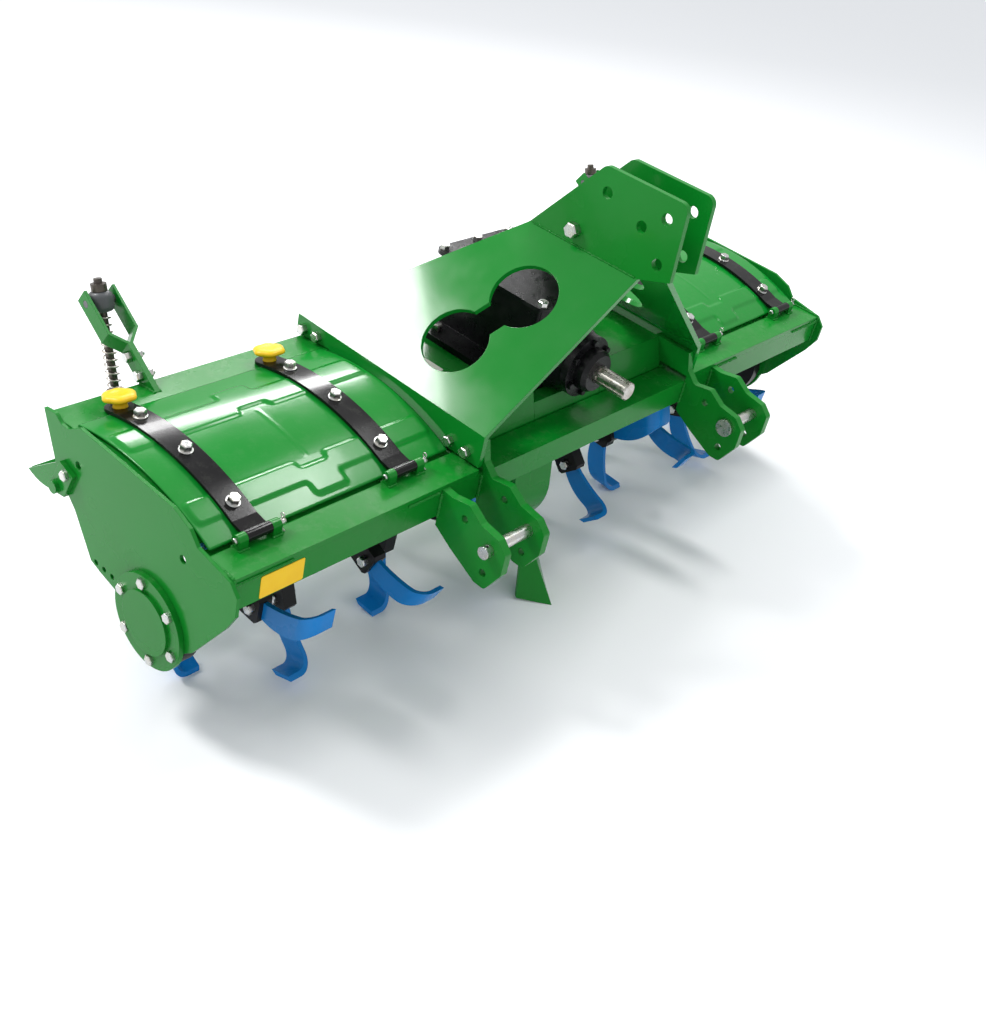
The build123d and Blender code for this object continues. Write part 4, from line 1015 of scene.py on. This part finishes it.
coil_tree, coil_keys = spring_tree()
rod_down = heading(0, EYE[0] - TRUNNION[0], EYE[1] - TRUNNION[1])
for side, label in ((-1, "left"), (1, "right")):
    bm = bmesh.new()
    middle = at(side * ROD_X, *TRUNNION)
    turned_mesh(bm, facing_place(middle, -rod_down), TRUNNION_PROFILE, 36, bored=True)
    for way in (-1, 1):
        turned_mesh(bm, facing_place(middle, (way, 0, 0)), ((STUD_R, 18), (STUD_R, STUD_END)))
    piece(
        f"trunnion_body_{label}", finished("trunnion_body", bm, grey), f"trunnion_{label}", "grey_paint",
        f"rod_trunnion_{label}",
    )
    top = at(side * ROD_X, *TRUNNION) + rod_down * (SPRING_START / 1000)
    blank = bpy.data.meshes.new("coil")
    coil = grown(f"coil_{label}", blank, coil_tree, {
        coil_keys["Turns"]: float(SPRING_TURNS), coil_keys["Radius"]: SPRING_MEAN_R / 1000,
        coil_keys["Wire"]: SPRING_WIRE / 2000, coil_keys["Length"]: (SPRING_LENGTH - SPRING_WIRE) / 1000,
        coil_keys["Finish"]: bright,
    })
    coil.transform(facing_place(top + rod_down * (SPRING_WIRE / 2000), rod_down))
    made = piece(f"coil_spring_{label}", coil, f"trunnion_{label}", "bright_steel", f"rod_spring_{label}")
    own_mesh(made)

# Plates: a blank yellow plate glued to the front beam by its left end, and a small off-white sticker on
# the deck beside the gearbox. Both are thin film with rounded corners.
CORNER_ROUND = 0.0015


def film_mesh(name, corners, thickness, way, material):
    """Thin film with rounded corners, on four corners in mm of the level machine."""
    bm = bmesh.new()
    points = [at(*corner) for corner in corners]
    low = [bm.verts.new(point) for point in points]
    bm.faces.new(low)
    bmesh.ops.bevel(bm, geom=bm.verts[:], offset=CORNER_ROUND, segments=3, affect="VERTICES")
    face = bm.faces[:][0]
    raised = bmesh.ops.extrude_face_region(bm, geom=[face])
    for element in raised["geom"]:
        if isinstance(element, bmesh.types.BMVert):
            element.co += Vector(way) * (thickness / 1000)
    return finished(name, bm, material)


film_yellow = surfaced(
    "yellow_film", plastic,
    {"Colour": (0.86, 0.54, 0.015, 1), "Flow Colour": (0.82, 0.48, 0.012, 1), "Gloss": 0.4},
    {"Specular IOR Level": 0.2}, 0.00001,
)
film_white = surfaced(
    "white_film", plastic,
    {"Colour": (0.8, 0.78, 0.7, 1), "Flow Colour": (0.7, 0.68, 0.6, 1), "Gloss": 0.4},
    {"Specular IOR Level": 0.2}, 0.00001,
)
plate_corners = [(-758, 0, -16), (-678, 0, -16), (-678, 0, -56), (-758, 0, -56)]
sticker_corners = [(-213, 204, 46), (-197, 204, 46), (-197, 252, 46), (-213, 252, 46)]
sticker = film_mesh("sticker", sticker_corners, 0.4, heading(0, 0, 1), film_white)
piece("sticker", sticker, "frame", "yellow_plastic")
plate = film_mesh("blank_plate", plate_corners, 0.8, heading(0, -1, 0), film_yellow)
piece("blank_plate", plate, "frame", "yellow_plastic")

# Studio: a pale floor, soft light from large lamps and a white surround. The camera stands at the front
# left corner of the hood, above it, and leans over as the photographer held it.
floor_mesh = bpy.data.meshes.new("floor")
FLOOR_HALF = 14
floor_mesh.from_pydata([(x, y, 0) for x, y in ((-1, -1), (1, -1), (1, 1), (-1, 1))], [], [(0, 1, 2, 3)])
floor_mesh.transform(Matrix.Scale(FLOOR_HALF, 4))
floor = bpy.data.objects.new("floor", floor_mesh)
bpy.context.scene.collection.objects.link(floor)
pale = bpy.data.materials.new("pale_floor")
pale.use_nodes = True
pale_shader = pale.node_tree.nodes["Principled BSDF"]
pale_shader.inputs["Base Color"].default_value = (0.93, 0.93, 0.93, 1)
pale_shader.inputs["Roughness"].default_value = 0.9
floor_mesh.materials.append(pale)

world = bpy.data.worlds.new("studio")
bpy.context.scene.world = world
world.use_nodes = True
surround = world.node_tree
soft = surround.nodes["Background"]
soft.inputs["Color"].default_value = (0.93, 0.96, 1.0, 1)
soft.inputs["Strength"].default_value = 0.85
white = surround.nodes.new("ShaderNodeBackground")
white.inputs["Strength"].default_value = 1.0
rays = surround.nodes.new("ShaderNodeLightPath")
seen = times(surround, rays.outputs["Is Camera Ray"], rays.outputs["Is Glossy Ray"], "MAXIMUM")
seen = times(surround, seen, rays.outputs["Is Transmission Ray"], "MAXIMUM")
mixed = surround.nodes.new("ShaderNodeMixShader")
surround.links.new(seen, mixed.inputs["Fac"])
surround.links.new(soft.outputs["Background"], mixed.inputs[1])
surround.links.new(white.outputs["Background"], mixed.inputs[2])
surround.links.new(mixed.outputs["Shader"], surround.nodes["World Output"].inputs["Surface"])


def lamp(name, place, target, size, power):
    data = bpy.data.lights.new(name, "AREA")
    data.shape = "RECTANGLE"
    data.size, data.size_y = size
    data.energy = power
    made = bpy.data.objects.new(name, data)
    made.location = place
    made.rotation_euler = (Vector(target) - Vector(place)).to_track_quat("-Z", "Y").to_euler()
    bpy.context.scene.collection.objects.link(made)


lamp("front_tubes", at(1480, 350, 3000), at(-570, 120, 25), (1.3, 0.45), 45)
lamp("rear_tubes", at(1888, 3064, 2000), at(-570, 290, 45), (1.8, 0.4), 60)
lamp("roof_light", at(-1900, 2950, 3000), at(-240, 250, 130), (1.0, 0.9), 120)

CAMERA_PLACE = (-1699.15, -1000.64, 1123.94)
CAMERA_RIGHT = (0.66239, -0.72383, 0.19317)
CAMERA_UP = (0.32555, 0.51033, 0.79598)
CAMERA_AHEAD = (0.67473, 0.46436, -0.57368)
camera = bpy.data.cameras.new("camera")
camera.lens = 44.52
camera.sensor_width = 36
camera.clip_end = 60
viewer = bpy.data.objects.new("camera", camera)
axes = [heading(*CAMERA_RIGHT), heading(*CAMERA_UP), -heading(*CAMERA_AHEAD)]
viewer.matrix_world = Matrix.Translation(at(*CAMERA_PLACE)) @ Matrix(axes).transposed().to_4x4()
bpy.context.scene.collection.objects.link(viewer)
bpy.context.scene.camera = viewer
bpy.context.scene.view_settings.view_transform = "Standard"

for pattern in fastener_kinds.values():
    bpy.data.objects.remove(pattern)
